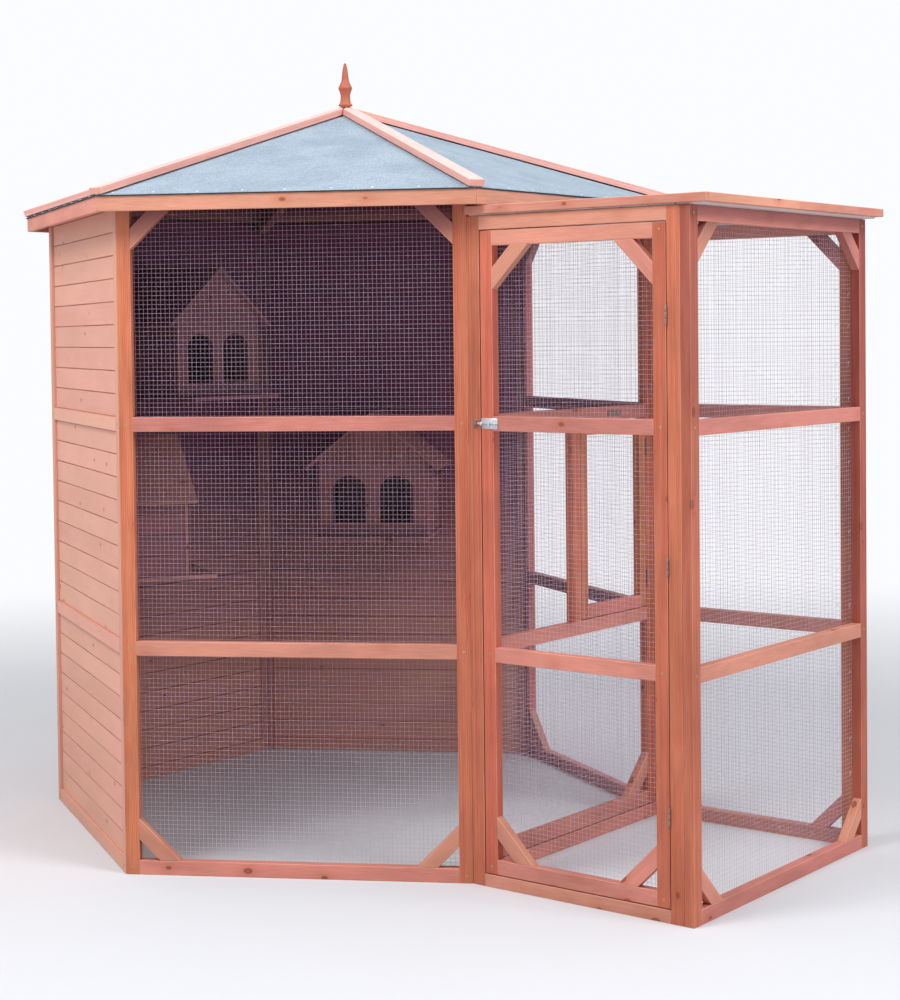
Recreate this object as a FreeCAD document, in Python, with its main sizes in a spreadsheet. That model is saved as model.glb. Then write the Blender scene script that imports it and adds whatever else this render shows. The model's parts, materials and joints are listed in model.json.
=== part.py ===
# Bird aviary: a hexagonal timber room with a safety porch, two doors, a hatch and three nest boxes.
#
# Every timber stands in the frame of its own wall: X runs along the wall, Y goes in from the
# wall's outer face and Z goes up. A wall's frame is then turned and moved to its place round the
# hexagon. The document's origin lies on the ground under the middle of the whole object's box.
import FreeCAD, Part
import Sketcher
import math
import os

# The driving sizes in millimetres, and what each one is.
SIZES = [
    ("side_length", 1000, "outer length of one side of the hexagon"),
    ("wall_height", 1940, "height of the main room's walls"),
    ("frame_depth", 30, "thickness of a wall panel's frame"),
    ("stile_width", 40, "width of the upright timbers"),
    ("rail_height", 41, "height of the level timbers"),
    ("lower_rail_z", 627, "underside of the lower middle rail"),
    ("upper_rail_z", 1264, "underside of the upper middle rail"),
    ("brace_outer_leg", 120, "reach of a corner brace along stile and rail"),
    ("brace_inner_leg", 60, "free leg of the corner behind a brace"),
    ("brace_depth", 26, "thickness of a corner brace"),
    ("face_setback", 1, "how far a brace or a leaf lies behind the frame's face"),
    ("fit_gap", 0.3, "clearance between neighbours that are fixed together"),
    ("mesh_thickness", 1, "thickness of the welded mesh"),
    ("mesh_strand", 2, "drawn width of a mesh strand"),
    ("mesh_pitch", 80, "drawn pitch of the mesh"),
    ("mesh_margin", 8, "how far the mesh stops short of a frame's edge"),
    ("board_thickness", 14, "thickness of a wall board"),
    ("board_setback", 8, "how far the wall boards lie behind the frame's face"),
    ("board_groove", 0.8, "open joint between two wall boards"),
    ("porch_depth", 710, "from the inner wall's face to the porch's outer face"),
    ("porch_head_height", 38, "height of the rail over the front door"),
    ("porch_sill_height", 35, "height of the sill under the front door"),
    ("porch_brace_outer_leg", 108, "reach of a brace of the porch walls"),
    ("porch_brace_inner_leg", 50, "free leg behind a brace of the porch walls"),
    ("door_gap", 3, "gap round a door leaf"),
    ("leaf_depth", 28, "thickness of a door leaf"),
    ("hatch_width", 361, "width of the hatch"),
    ("hatch_stile_width", 34, "width of the hatch's uprights"),
    ("hatch_rail_height", 38, "height of the hatch's rails"),
    ("hatch_depth", 26, "thickness of the hatch"),
    ("roof_rise", 294, "rise of the roof from a wall's face to the middle"),
    ("roof_overhang", 63, "from a wall's face to the fascia's face"),
    ("roof_board_thickness", 10, "thickness of a roof board"),
    ("felt_thickness", 2, "thickness of the roofing felt"),
    ("felt_drip", 3, "how far the felt passes the fascia"),
    ("board_hip_gap", 3, "from a roof board's edge to the hip"),
    ("felt_hip_gap", 1, "from a felt sheet's edge to the hip"),
    ("crown_radius", 12, "from the roof's axis to the boards' upper ends"),
    ("fascia_height", 45, "height of the main fascia"),
    ("fascia_thickness", 15, "thickness of the main fascia"),
    ("batten_width", 46, "width of a hip batten"),
    ("batten_thickness", 20, "thickness of a hip batten"),
    ("batten_setback", 4, "from a batten's end to the roof's corner"),
    ("batten_side_gap", 1, "from a batten's mitred end to its neighbour's"),
    ("rafter_width", 30, "width of a hip rafter"),
    ("rafter_height", 45, "height of a hip rafter"),
    ("king_radius", 36, "corner radius of the hexagonal king block"),
    ("king_height", 70, "height of the king block"),
    ("porch_slip_gap", 2, "from the porch roof's top to the main fascia"),
    ("porch_deck_thickness", 26, "thickness of the porch roof's boards"),
    ("porch_deck_groove", 1, "open joint between two boards of the porch roof"),
    ("porch_edging_height", 23, "height of the porch roof's edging"),
    ("porch_edging_thickness", 18, "thickness of the porch roof's edging"),
    ("porch_front_overhang", 12, "from the porch's front to the roof's edge"),
    ("porch_side_overhang", 55, "from the porch's outer wall to the roof's edge"),
    ("porch_back_overhang", 6, "from the porch's back to the roof's edge"),
    ("edging_joint", 0.8, "open joint between two lengths of edging"),
    ("finial_base_radius", 23.5, "radius of the finial's foot"),
    ("finial_base_height", 2, "height of the finial's foot"),
    ("finial_cove_radius", 17.3, "radius halfway up the hollow slope from foot to neck"),
    ("finial_cove_height", 9, "height of that slope's lower half"),
    ("finial_neck_radius", 15.3, "radius of the finial's neck"),
    ("finial_shoulder", 11, "height of that slope's upper half"),
    ("finial_neck_height", 14, "height of the finial's neck"),
    ("finial_flare_radius", 18.7, "radius halfway up the hollow slope from neck to bead"),
    ("finial_flare_height", 12, "height of that slope's lower half"),
    ("finial_bead_radius", 22.3, "radius of the finial's bead"),
    ("finial_bead_foot", 8, "height of that slope's upper half"),
    ("finial_bead_height", 2.5, "height of the finial's bead"),
    ("finial_waist_radius", 12.1, "radius where the finial's spire turns steep"),
    ("finial_waist_height", 22.5, "height of the spire's spreading foot"),
    ("finial_collar_radius", 8, "radius at the head of the finial's spire"),
    ("finial_spire_height", 36, "height of the spire's steep part"),
    ("finial_tip_radius", 4.2, "radius of the finial's rounded tip"),
    ("finial_tip_height", 17, "height from the spire to the rounded tip"),
    ("peg_radius", 8, "radius of the finial's peg"),
    ("peg_gap", 0.3, "clearance round the finial's peg"),
    ("peg_bite", 40, "how deep the peg sits in the king block"),
    ("nest_width", 385, "width of a nest box"),
    ("nest_depth", 310, "depth of a nest box"),
    ("nest_eave", 276, "height of a nest box's side, over the shelf's underside"),
    ("nest_rise", 157, "rise of a nest box's roof from side to ridge"),
    ("nest_gable_foot", 14, "how far the gable's boards reach below the eaves"),
    ("nest_gable_proud", 3, "how far the gable's boards stand proud of the front"),
    ("nest_panel", 10, "thickness of a nest box's boards"),
    ("nest_roof_thickness", 12, "thickness of a nest box's roof boards"),
    ("nest_roof_front", 20, "how far a nest box's roof passes its front"),
    ("nest_roof_side", 42, "how far a nest box's roof passes its side"),
    ("nest_shelf_thickness", 14, "thickness of a nest box's shelf"),
    ("nest_shelf_projection", 90, "how far a landing shelf passes the front"),
    ("nest_shelf_side", 9, "how far a landing shelf passes the side"),
    ("nest_groove", 0.8, "open joint between two boards of a nest box"),
    ("arch_width", 115, "width of a nest box's doorway"),
    ("arch_height", 164, "height of a nest box's doorway"),
    ("arch_rise", 36, "rise of the arch over the doorway"),
    ("arch_sill", 44, "from the shelf to the doorway"),
    ("arch_spacing", 168, "from the middle of one doorway to the other"),
    ("left_back_nest_x", 554, "place of the left back nest box along its wall"),
    ("left_back_nest_z", 1320, "height of the left back nest box's shelf"),
    ("back_nest_x", 522, "place of the back nest box along its wall"),
    ("back_nest_z", 814, "height of the back nest box's shelf"),
    ("left_front_nest_x", 284, "place of the left front nest box along its wall"),
    ("left_front_nest_z", 767, "height of the left front nest box's shelf"),
    ("hinge_inset", 240, "from a door's end to the middle of its outer hinge"),
    ("hatch_hinge_inset", 90, "from the hatch's end to the middle of its hinge"),
    ("hinge_height", 50, "height of a hinge"),
    ("hinge_leaf_width", 20, "width of a hinge's leaf"),
    ("hinge_leaf_thickness", 1.2, "thickness of a hinge's leaf"),
    ("hinge_barrel_radius", 3.2, "radius of a hinge's barrel"),
    ("hinge_pin_radius", 1.5, "radius of a hinge's pin"),
    ("hinge_pin_head", 1.2, "height of the head of a hinge's pin"),
    ("hinge_running_gap", 0.05, "clearance round a hinge's pin"),
    ("hinge_end_gap", 0.3, "clearance between two knuckles"),
    ("bolt_plate_length", 54, "length of a slide bolt's plate"),
    ("bolt_plate_height", 30, "height of a slide bolt's plate"),
    ("bolt_plate_thickness", 1.5, "thickness of a slide bolt's plate"),
    ("bolt_radius", 3, "radius of a slide bolt's bar"),
    ("bolt_reach", 70, "length of a slide bolt's bar"),
    ("bolt_guide_width", 6, "width of a slide bolt's guide"),
    ("bolt_guide_spacing", 26, "from one guide of a slide bolt to the other"),
    ("bolt_strip", 1.5, "thickness of the strip that a guide is bent from"),
    ("bolt_knob_radius", 2.4, "radius of a slide bolt's knob"),
    ("bolt_knob_height", 12, "height of a slide bolt's knob"),
    ("bolt_knob_inset", 4, "from the bar's end to the middle of its knob"),
    ("bolt_rest_gap", 2, "from the front door's bolt at rest to its keeper"),
    ("keeper_setback", 10, "from the porch post's edge to the front door's keeper"),
    ("keeper_width", 12, "width of the front door's keeper"),
    ("inner_keeper_setback", 1.2, "from the inner post's edge to the inner door's keeper"),
    ("inner_keeper_width", 7.5, "width of the inner door's keeper"),
    ("keeper_foot", 9, "height of the keeper's foot"),
    ("button_length", 70, "length of the hatch's turn button"),
    ("button_width", 14, "width of the turn button"),
    ("button_thickness", 4, "thickness of the turn button"),
    ("button_head_radius", 4.5, "radius of the turn button's screw head"),
    ("button_head_height", 2, "height of the turn button's screw head"),
    ("screw_head_radius", 4, "radius of a panel screw's head"),
    ("screw_head_height", 1, "height of a panel screw's head"),
]

BOARDS_PER_BAY = 9
DECK_BOARDS = 9
NEST_SIDE_BOARDS = 4
NEST_ROOF_BOARDS = 3
GABLE_BOARDS = 6
HEXAGON = 6

# Where the porch roof's long edging is joined, as shares of its length.
EDGING_JOINT_SHARES = (0, 0.49, 0.85, 1)

COS_30 = math.sqrt(3) / 2
TAN_30 = 1 / math.sqrt(3)
HALF_DIAGONAL = 1 / math.sqrt(2)
HALF_RIGHT_ANGLE = 45
RIGHT_ANGLE = 90
HALF_TURN = 180
SIXTH_TURN = 60
TWELFTH_TURN = 30
EXACT_DIGITS = 12

DOC = FreeCAD.newDocument("bird_aviary")
NODES = []


class Size:
    """A size that the sheet drives: its present value and the expression that gives it."""

    def __init__(self, value, text):
        self.value = value
        self.text = text

    def joined(self, other, value, sign):
        text = other.text if isinstance(other, Size) else "(" + repr(other) + ")"
        return Size(value, "(" + self.text + " " + sign + " " + text + ")")

    def __add__(self, other):
        return self.joined(other, self.value + number(other), "+")

    def __sub__(self, other):
        return self.joined(other, self.value - number(other), "-")

    def __mul__(self, other):
        return self.joined(other, self.value * number(other), "*")

    def __truediv__(self, other):
        return self.joined(other, self.value / number(other), "/")

    def __neg__(self):
        return Size(-self.value, "(-1 * " + self.text + ")")

    def __radd__(self, other):
        return self + other

    def __rsub__(self, other):
        return -self + other


def number(size):
    return size.value if isinstance(size, Size) else size


def root_of_squares(first, second):
    text = "sqrt(" + (first * first + second * second).text + ")"
    return Size(math.hypot(first.value, second.value), text)


def angle_of(rise, run):
    text = "atan(" + (rise / run).text + ")"
    return Size(math.degrees(math.atan2(rise.value, run.value)), text)


def make_sheet():
    """Writes the driving sizes into a spreadsheet and gives them back by name."""
    sheet = DOC.addObject("Spreadsheet::Sheet", "Sizes")
    sizes = {}
    for row, (name, value, meaning) in enumerate(SIZES, start=1):
        sheet.set("A%d" % row, name)
        sheet.set("B%d" % row, str(value))
        sheet.set("C%d" % row, meaning)
        sheet.setAlias("B%d" % row, name)
        sizes[name] = Size(float(value), "Sizes." + name)
    DOC.recompute()
    return sizes


D = make_sheet()


def bind(thing, prop, size):
    """Sets a property to a size, which the sheet then drives."""
    if isinstance(size, Size):
        thing.setExpression(prop, size.text)
    else:
        setattr(thing, prop, size)


def place(thing, x=0, y=0, z=0, axis=(0, 0, 1), angle=0):
    """Turns a piece about an axis through its own origin, then moves it."""
    turn = FreeCAD.Rotation(FreeCAD.Vector(*axis), number(angle))
    spot = FreeCAD.Vector(number(x), number(y), number(z))
    thing.Placement = FreeCAD.Placement(spot, turn)
    for letter, size in (("x", x), ("y", y), ("z", z)):
        if isinstance(size, Size):
            thing.setExpression("Placement.Base." + letter, size.text)
    if isinstance(angle, Size):
        thing.setExpression("Placement.Rotation.Angle", angle.text)
    return thing


def box(name, x, y, z):
    """A block between two ends on each axis, each given as a pair."""
    block = DOC.addObject("Part::Box", name)
    for prop, (low, high) in (("Length", x), ("Width", y), ("Height", z)):
        bind(block, prop, high - low)
    return place(block, x[0], y[0], z[0])


def wedge(name, x, y, z, far_x=None, far_z=None):
    """A block whose far Y face may have other ends on X and Z."""
    block = DOC.addObject("Part::Wedge", name)
    ends = {"X": x, "Y": y, "Z": z, "X2": far_x or x, "Z2": far_z or z}
    for letter, (low, high) in ends.items():
        bind(block, letter + "min", low)
        bind(block, letter + "max", high)
    return block


def cylinder(name, radius, height, x=0, y=0, z=0, axis=(0, 0, 1), angle=0):
    rod = DOC.addObject("Part::Cylinder", name)
    bind(rod, "Radius", radius)
    bind(rod, "Height", height)
    return place(rod, x, y, z, axis, angle)


def cut(name, base, tool):
    piece = DOC.addObject("Part::Cut", name)
    piece.Base = base
    piece.Tool = tool
    return piece


def fuse(name, pieces):
    piece = DOC.addObject("Part::MultiFuse", name)
    piece.Shapes = pieces
    return piece


def group(name, pieces, x=0, y=0, z=0, axis=(0, 0, 1), angle=0):
    """Separate solids held together and placed as one. A piece may be in several groups."""
    held = DOC.addObject("Part::Compound", name)
    held.Links = pieces
    return place(held, x, y, z, axis, angle)


def node(name, pieces, x=0, y=0, z=0, angle=0):
    """A sub-part of the finished object, written to a file of its own."""
    held = group(name, pieces, x, y, z, angle=angle)
    held.Label = name
    NODES.append(held)
    return held


def body_sketch(body, name, loops):
    """Closed outlines on a body's level plane, every corner held by the sheet."""
    sketch = body.newObject("Sketcher::SketchObject", name)
    for feature in body.Origin.OriginFeatures:
        if feature.Role == "XY_Plane":
            sketch.AttachmentSupport = [(feature, "")]
    sketch.MapMode = "FlatFace"
    for points in loops:
        add_loop(sketch, points)
    return sketch


def add_loop(sketch, points):
    """Adds one outline. A point is (x, y), or (x, y, radius) where an arc leads on from it.

    The arc bulges to the right of the way that the outline runs.
    """
    first = sketch.GeometryCount
    count = len(points)
    spots = [FreeCAD.Vector(number(point[0]), number(point[1]), 0) for point in points]
    for k, point in enumerate(points):
        start = spots[k]
        end = spots[(k + 1) % count]
        if len(point) == 2:
            sketch.addGeometry(Part.LineSegment(start, end), False)
            continue
        sketch.addGeometry(Part.Arc(start, arc_middle(start, end, point[2].value), end), False)
        index = sketch.addConstraint(Sketcher.Constraint("Radius", first + k, point[2].value))
        sketch.setExpression("Constraints[%d]" % index, point[2].text)
    for k, point in enumerate(points):
        after = first + (k + 1) % count
        sketch.addConstraint(Sketcher.Constraint("Coincident", first + k, 2, after, 1))
        hold(sketch, "DistanceX", first + k, point[0])
        hold(sketch, "DistanceY", first + k, point[1])


def arc_middle(start, end, radius):
    """The middle of the shorter arc from start to end that bulges to the right."""
    chord = end - start
    depth_of_arc = radius - math.sqrt(radius ** 2 - (chord.Length / 2) ** 2)
    right = FreeCAD.Vector(chord.y, -chord.x, 0).normalize()
    return (start + end) / 2 + right * depth_of_arc


def hold(sketch, kind, edge, size):
    """Holds the start of an edge at a distance from the sketch's origin."""
    index = sketch.addConstraint(Sketcher.Constraint(kind, -1, 1, edge, 1, number(size)))
    if isinstance(size, Size):
        sketch.setExpression("Constraints[%d]" % index, size.text)


def arc_radius(chord, rise):
    """Radius of an arc that rises so far over a chord."""
    return (chord * chord / 4 + rise * rise) / (rise * 2)


# Sizes worked out from the driving ones.
length = D["side_length"]
apothem = length * COS_30
height = D["wall_height"]
depth = D["frame_depth"]
stile = D["stile_width"]
rail = D["rail_height"]
lower = D["lower_rail_z"]
upper = D["upper_rail_z"]
gap = D["fit_gap"]
setback = D["face_setback"]
mesh = D["mesh_thickness"]
door_gap = D["door_gap"]
leaf_back = setback + D["leaf_depth"]
mitre = depth * TAN_30

pitch = D["roof_rise"] / apothem
stretch = root_of_squares(apothem, D["roof_rise"]) / apothem
eave = D["roof_overhang"]
felt = D["felt_thickness"]
roof_stack = (D["roof_board_thickness"] + felt) * stretch
roof_angle = angle_of(D["roof_rise"], apothem)
roof_reach = apothem + eave + D["felt_drip"]
corner_radius = roof_reach / COS_30

hip_pitch = D["roof_rise"] / length
hip_angle = angle_of(D["roof_rise"], length)
hip_run = root_of_squares(length, D["roof_rise"])
hip_stretch = hip_run / length
batten_end = corner_radius - D["batten_setback"]
batten_reach = batten_end + D["batten_thickness"] * D["roof_rise"] / hip_run


def roof_top(y):
    """Height of the felt's upper face at a distance in from the wall's face."""
    return height + gap + roof_stack + pitch * y


def hip_top(radius):
    """Height of the roof's hip at a distance from the axis."""
    return roof_top(apothem) - hip_pitch * radius


fascia_top = roof_top(-eave) - felt * stretch - gap
fascia_bottom = fascia_top - D["fascia_height"]

porch = D["porch_depth"]
porch_top = fascia_bottom - D["porch_slip_gap"]
deck_bottom = porch_top - felt - D["porch_deck_thickness"]
porch_height = deck_bottom - gap
porch_side = D["porch_side_overhang"]
porch_front = D["porch_front_overhang"]
porch_back = D["porch_back_overhang"]

# The document's origin lies under the middle of the object's box.
left_end = -batten_reach
right_end = length + porch_back / 2 + (porch + porch_side) * COS_30
front_end = -apothem - porch_front * COS_30 - (porch + porch_side) / 2
back_end = batten_reach * COS_30 + D["batten_width"] / 4
centre_x = -(left_end + right_end) / 2
centre_y = -(front_end + back_end) / 2


class Wall:
    """Where a wall stands: its left outer corner, seen from outside, and the way it runs."""

    def __init__(self, angle, x, y):
        self.angle = angle
        self.x = x
        self.y = y

    def point(self, along, inward):
        """The place in the document of a point of this wall."""
        turn = math.radians(self.angle)
        cosine = round(math.cos(turn), EXACT_DIGITS)
        sine = round(math.sin(turn), EXACT_DIGITS)
        x = self.x + along * cosine - inward * sine
        y = self.y + along * sine + inward * cosine
        return x, y


def hexagon_wall(number_round):
    """A wall of the hexagon, counted from the front one, against the clock."""
    angle = number_round * SIXTH_TURN
    return Wall(angle, *Wall(angle, centre_x, centre_y).point(-length / 2, -apothem))


FRONT = hexagon_wall(0)
INNER = hexagon_wall(1)
RIGHT_BACK = hexagon_wall(2)
BACK = hexagon_wall(3)
LEFT_BACK = hexagon_wall(4)
LEFT_FRONT = hexagon_wall(5)
PORCH_FRONT = Wall(INNER.angle - RIGHT_ANGLE, INNER.x, INNER.y)
PORCH_OUTER = Wall(INNER.angle, *INNER.point(length * 0, -porch))
PORCH_BACK = Wall(INNER.angle + RIGHT_ANGLE, *INNER.point(length, -porch))


def stand(name, pieces, wall):
    """A sub-part that stands in a wall's frame."""
    return node(name, pieces, wall.x, wall.y, 0, wall.angle)


# Wall panels.
def mitred_stiles(name):
    """The two uprights of a hexagon wall, cut to meet the next walls on the corner."""
    left = wedge(name + "_left", (gap, stile), (0, depth), (0, height), (gap + mitre, stile))
    right = wedge(name + "_right", (length - stile, length - gap), (0, depth), (0, height),
                  (length - stile, length - gap - mitre))
    return [left, right]


def square_stiles(name, x, tall):
    """Two plain uprights at the ends of a stretch."""
    left = box(name + "_left", (x[0], x[0] + stile), (0, depth), (0, tall))
    right = box(name + "_right", (x[1] - stile, x[1]), (0, depth), (0, tall))
    return [left, right]


def level_rails(name, x, y, undersides, tall=rail):
    return [box("%s_%d" % (name, k), x, y, (z, z + tall)) for k, z in enumerate(undersides)]


def brace_shape(name, outer, inner):
    """A corner brace as it lies across a corner, before it is turned into one."""
    near = inner * HALF_DIAGONAL
    far = outer * HALF_DIAGONAL
    thick = (-(setback + D["brace_depth"]), -setback)
    block = wedge(name, (-near, near), (near, far), thick, (-far, far))
    return place(block, axis=(1, 0, 0), angle=RIGHT_ANGLE)


def corner_braces(name, shape, x, z):
    """The brace in each corner of a bay."""
    corners = (
        (x[0], z[0], HALF_RIGHT_ANGLE),
        (x[1], z[0], -HALF_RIGHT_ANGLE),
        (x[0], z[1], RIGHT_ANGLE + HALF_RIGHT_ANGLE),
        (x[1], z[1], -RIGHT_ANGLE - HALF_RIGHT_ANGLE),
    )
    return [group("%s_%d" % (name, k), [shape], x=cx, z=cz, axis=(0, 1, 0), angle=turn)
            for k, (cx, cz, turn) in enumerate(corners)]


def net(name, x, back, z):
    """Welded mesh drawn as one holed sheet, lying on the back of a frame."""
    low_x, high_x = number(x[0]), number(x[1])
    low_z, high_z = number(z[0]), number(z[1])
    strand = D["mesh_strand"].value
    columns = max(1, int((high_x - low_x - strand) / D["mesh_pitch"].value))
    rows = max(1, int((high_z - low_z - strand) / D["mesh_pitch"].value))
    step_x = (high_x - low_x - strand) / columns
    step_z = (high_z - low_z - strand) / rows
    wires = [rectangle(low_x, high_x, low_z, high_z)]
    for column in range(columns):
        for row in range(rows):
            left = low_x + strand + column * step_x
            foot = low_z + strand + row * step_z
            wires.append(rectangle(left, left + step_x - strand, foot, foot + step_z - strand))
    sheet = Part.makeFace(wires, "Part::FaceMakerBullseye")
    piece = DOC.addObject("Part::Feature", name)
    piece.Shape = sheet.extrude(FreeCAD.Vector(0, mesh.value, 0))
    place(piece, y=back)
    return piece


def rectangle(left, right, foot, head):
    spots = ((left, foot), (right, foot), (right, head), (left, head), (left, foot))
    return Part.makePolygon([FreeCAD.Vector(x, 0, z) for x, z in spots])


def wall_boards():
    """Level boards between the stiles, the same number in each bay."""
    bays = ((rail, lower), (lower + rail, upper), (upper + rail, height - rail))
    back = D["board_setback"] + D["board_thickness"]
    boards = []
    for bay, (low, high) in enumerate(bays):
        board = (high - low) / BOARDS_PER_BAY
        for k in range(BOARDS_PER_BAY):
            foot = low + board * k
            boards.append(box("wall_board_%d_%d" % (bay, k), (stile + gap, length - stile - gap),
                              (D["board_setback"], back), (foot, foot + board - D["board_groove"])))
    return boards


bay_x = (stile, length - stile)
panel_frame = mitred_stiles("panel_stile")
panel_frame += level_rails("panel_rail", bay_x, (0, depth), (length * 0, lower, upper, height - rail))
main_brace = brace_shape("main_brace", D["brace_outer_leg"], D["brace_inner_leg"])
panel_braces = corner_braces("panel_brace", main_brace, bay_x, (rail, height - rail))
mesh_x = (mitre + D["mesh_margin"], length - mitre - D["mesh_margin"])
panel_net = net("panel_net", mesh_x, depth, (D["mesh_margin"], height - D["mesh_margin"]))
panel_boards = wall_boards()

for wall_name, wall in (("front", FRONT), ("right_back", RIGHT_BACK)):
    stand(wall_name + "_frame", panel_frame, wall)
    stand(wall_name + "_braces", panel_braces, wall)
    stand(wall_name + "_mesh", [panel_net], wall)
for wall_name, wall in (("left_front", LEFT_FRONT), ("left_back", LEFT_BACK), ("back", BACK)):
    stand(wall_name + "_frame", panel_frame, wall)
    stand(wall_name + "_boards", panel_boards, wall)


# Porch walls.
porch_rails = (length * 0, lower, upper, porch_height - rail)
porch_brace = brace_shape("porch_brace", D["porch_brace_outer_leg"], D["porch_brace_inner_leg"])


def porch_wall(name, wall, ends):
    """A meshed wall of the porch between two ends."""
    inside = (ends[0] + stile, ends[1] - stile)
    margin = D["mesh_margin"]
    uprights = square_stiles(name + "_stile", ends, porch_height)
    stand(name + "_frame", uprights + level_rails(name + "_rail", inside, (0, depth), porch_rails), wall)
    braces = corner_braces(name + "_brace", porch_brace, inside, (rail, porch_height - rail))
    stand(name + "_braces", braces, wall)
    sheet = net(name + "_net", (ends[0] + depth + margin, ends[1] - depth - margin), depth,
                (margin, porch_height - margin))
    stand(name + "_mesh", [sheet], wall)


porch_wall("porch_outer", PORCH_OUTER, (length * 0, length))
porch_wall("porch_back", PORCH_BACK, (depth + gap, porch - gap))

front_length = porch - depth
sill = D["porch_sill_height"]
head = D["porch_head_height"]
doorway_x = (stile, front_length - stile)
posts = [
    box("porch_post_left", (gap, stile), (0, depth), (0, porch_height)),
    box("porch_post_right", (front_length - stile, front_length - gap), (0, depth), (0, porch_height)),
]
threshold = box("porch_sill", doorway_x, (0, depth), (0, sill))
lintel = box("porch_head", doorway_x, (0, depth), (porch_height - head, porch_height))
stand("porch_front_frame", posts + [threshold, lintel], PORCH_FRONT)


# Doors.
def leaf_frame(name, x, z):
    """A door leaf: two stiles, and rails at the ends and at the panels' heights."""
    inside = (x[0] + stile, x[1] - stile)
    thick = (setback, leaf_back)
    stiles = [
        box(name + "_left", (x[0], inside[0]), thick, z),
        box(name + "_right", (inside[1], x[1]), thick, z),
    ]
    return stiles + level_rails(name + "_rail", inside, thick, (z[0], lower, upper, z[1] - rail))


def leaf_braces(name, x, z):
    inside = (x[0] + stile, x[1] - stile)
    return corner_braces(name, main_brace, inside, (z[0] + rail, z[1] - rail))


def inset(ends, margin):
    return (ends[0] + margin, ends[1] - margin)


front_door_x = inset(doorway_x, door_gap)
front_door_z = (sill + door_gap, porch_height - head - door_gap)
stand("front_door_frame", leaf_frame("front_door", front_door_x, front_door_z), PORCH_FRONT)
stand("front_door_braces", leaf_braces("front_door_brace", front_door_x, front_door_z), PORCH_FRONT)
front_door_net = net("front_door_net", inset(front_door_x, D["mesh_margin"]), leaf_back,
                     inset(front_door_z, D["mesh_margin"]))
stand("front_door_mesh", [front_door_net], PORCH_FRONT)

inner_frame = mitred_stiles("inner_post")
inner_frame += level_rails("inner_rail", bay_x, (0, depth), (length * 0, height - rail))
stand("inner_wall_frame", inner_frame, INNER)

inner_door_x = inset(bay_x, door_gap)
inner_door_z = (rail + door_gap, height - rail - door_gap)
hatch_x = (inner_door_x[1] - stile - door_gap - D["hatch_width"], inner_door_x[1] - stile - door_gap)
hatch_z = (lower + rail + door_gap, upper - door_gap)
divider_x = (hatch_x[0] - door_gap - stile, hatch_x[0] - door_gap)
divider = box("inner_door_divider", divider_x, (setback, leaf_back), (lower + rail, upper))
stand("inner_door_frame", leaf_frame("inner_door", inner_door_x, inner_door_z) + [divider], INNER)
stand("inner_door_braces", leaf_braces("inner_door_brace", inner_door_x, inner_door_z), INNER)

mesh_seams = (inner_door_z[0] + D["mesh_margin"], lower + rail / 2, upper + rail / 2,
              inner_door_z[1] - D["mesh_margin"])
full_sheet = inset(inner_door_x, D["mesh_margin"])
side_sheet = (full_sheet[0], divider_x[1] - D["mesh_margin"])
inner_nets = []
for k, across in enumerate((full_sheet, side_sheet, full_sheet)):
    upright = (mesh_seams[k] + gap, mesh_seams[k + 1] - gap)
    inner_nets.append(net("inner_door_net_%d" % k, across, leaf_back, upright))
stand("inner_door_mesh", inner_nets, INNER)

hatch_back = setback + D["hatch_depth"]
hatch_inside = inset(hatch_x, D["hatch_stile_width"])
hatch_thick = (setback, hatch_back)
hatch_parts = [
    box("hatch_left", (hatch_x[0], hatch_inside[0]), hatch_thick, hatch_z),
    box("hatch_right", (hatch_inside[1], hatch_x[1]), hatch_thick, hatch_z),
]
hatch_parts += level_rails("hatch_rail", hatch_inside, hatch_thick,
                           (hatch_z[0], hatch_z[1] - D["hatch_rail_height"]), D["hatch_rail_height"])
stand("hatch_frame", hatch_parts, INNER)
hatch_net = net("hatch_net", inset(hatch_x, D["mesh_margin"]), hatch_back,
                inset(hatch_z, D["mesh_margin"]))
stand("hatch_mesh", [hatch_net], INNER)


# Hinges. The barrel's axis is the piece's own Z axis. The fixed leaf lies on the +X side.
barrel = D["hinge_barrel_radius"]
hinge_tall = D["hinge_height"]
knuckle = hinge_tall / 3
knuckle_gap = D["hinge_end_gap"]
pin_radius = D["hinge_pin_radius"]
barrel_stand = barrel + gap
leaf_end = barrel_stand + D["hinge_leaf_width"]


def hinge_leaf(name, x, knuckles):
    """A leaf let in beside a door, with the knuckles that it carries round the pin."""
    parts = [box(name + "_plate", x, (barrel_stand, leaf_end), (0, hinge_tall))]
    for k, (low, high) in enumerate(knuckles):
        parts.append(cylinder("%s_knuckle_%d" % (name, k), barrel, high - low, z=low))
        parts.append(box("%s_tongue_%d" % (name, k), x, (0, barrel_stand), (low, high)))
    bore = cylinder(name + "_bore", pin_radius + D["hinge_running_gap"], hinge_tall)
    return cut(name, fuse(name + "_body", parts), bore)


half_gap = door_gap / 2
leaf_thin = D["hinge_leaf_thickness"]
outer_knuckles = ((hinge_tall * 0, knuckle - knuckle_gap), (hinge_tall - knuckle + knuckle_gap, hinge_tall))
middle_knuckle = ((knuckle + knuckle_gap, hinge_tall - knuckle - knuckle_gap),)
fixed_leaf = hinge_leaf("fixed_leaf", (half_gap - leaf_thin, half_gap), outer_knuckles)
moving_leaf = hinge_leaf("moving_leaf", (-half_gap, leaf_thin - half_gap), middle_knuckle)
pin_shank = cylinder("hinge_pin_shank", pin_radius, hinge_tall)
pin_head = cylinder("hinge_pin_head", barrel - leaf_thin, D["hinge_pin_head"], z=hinge_tall)
hinge_pin = fuse("hinge_pin", [pin_shank, pin_head])


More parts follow.
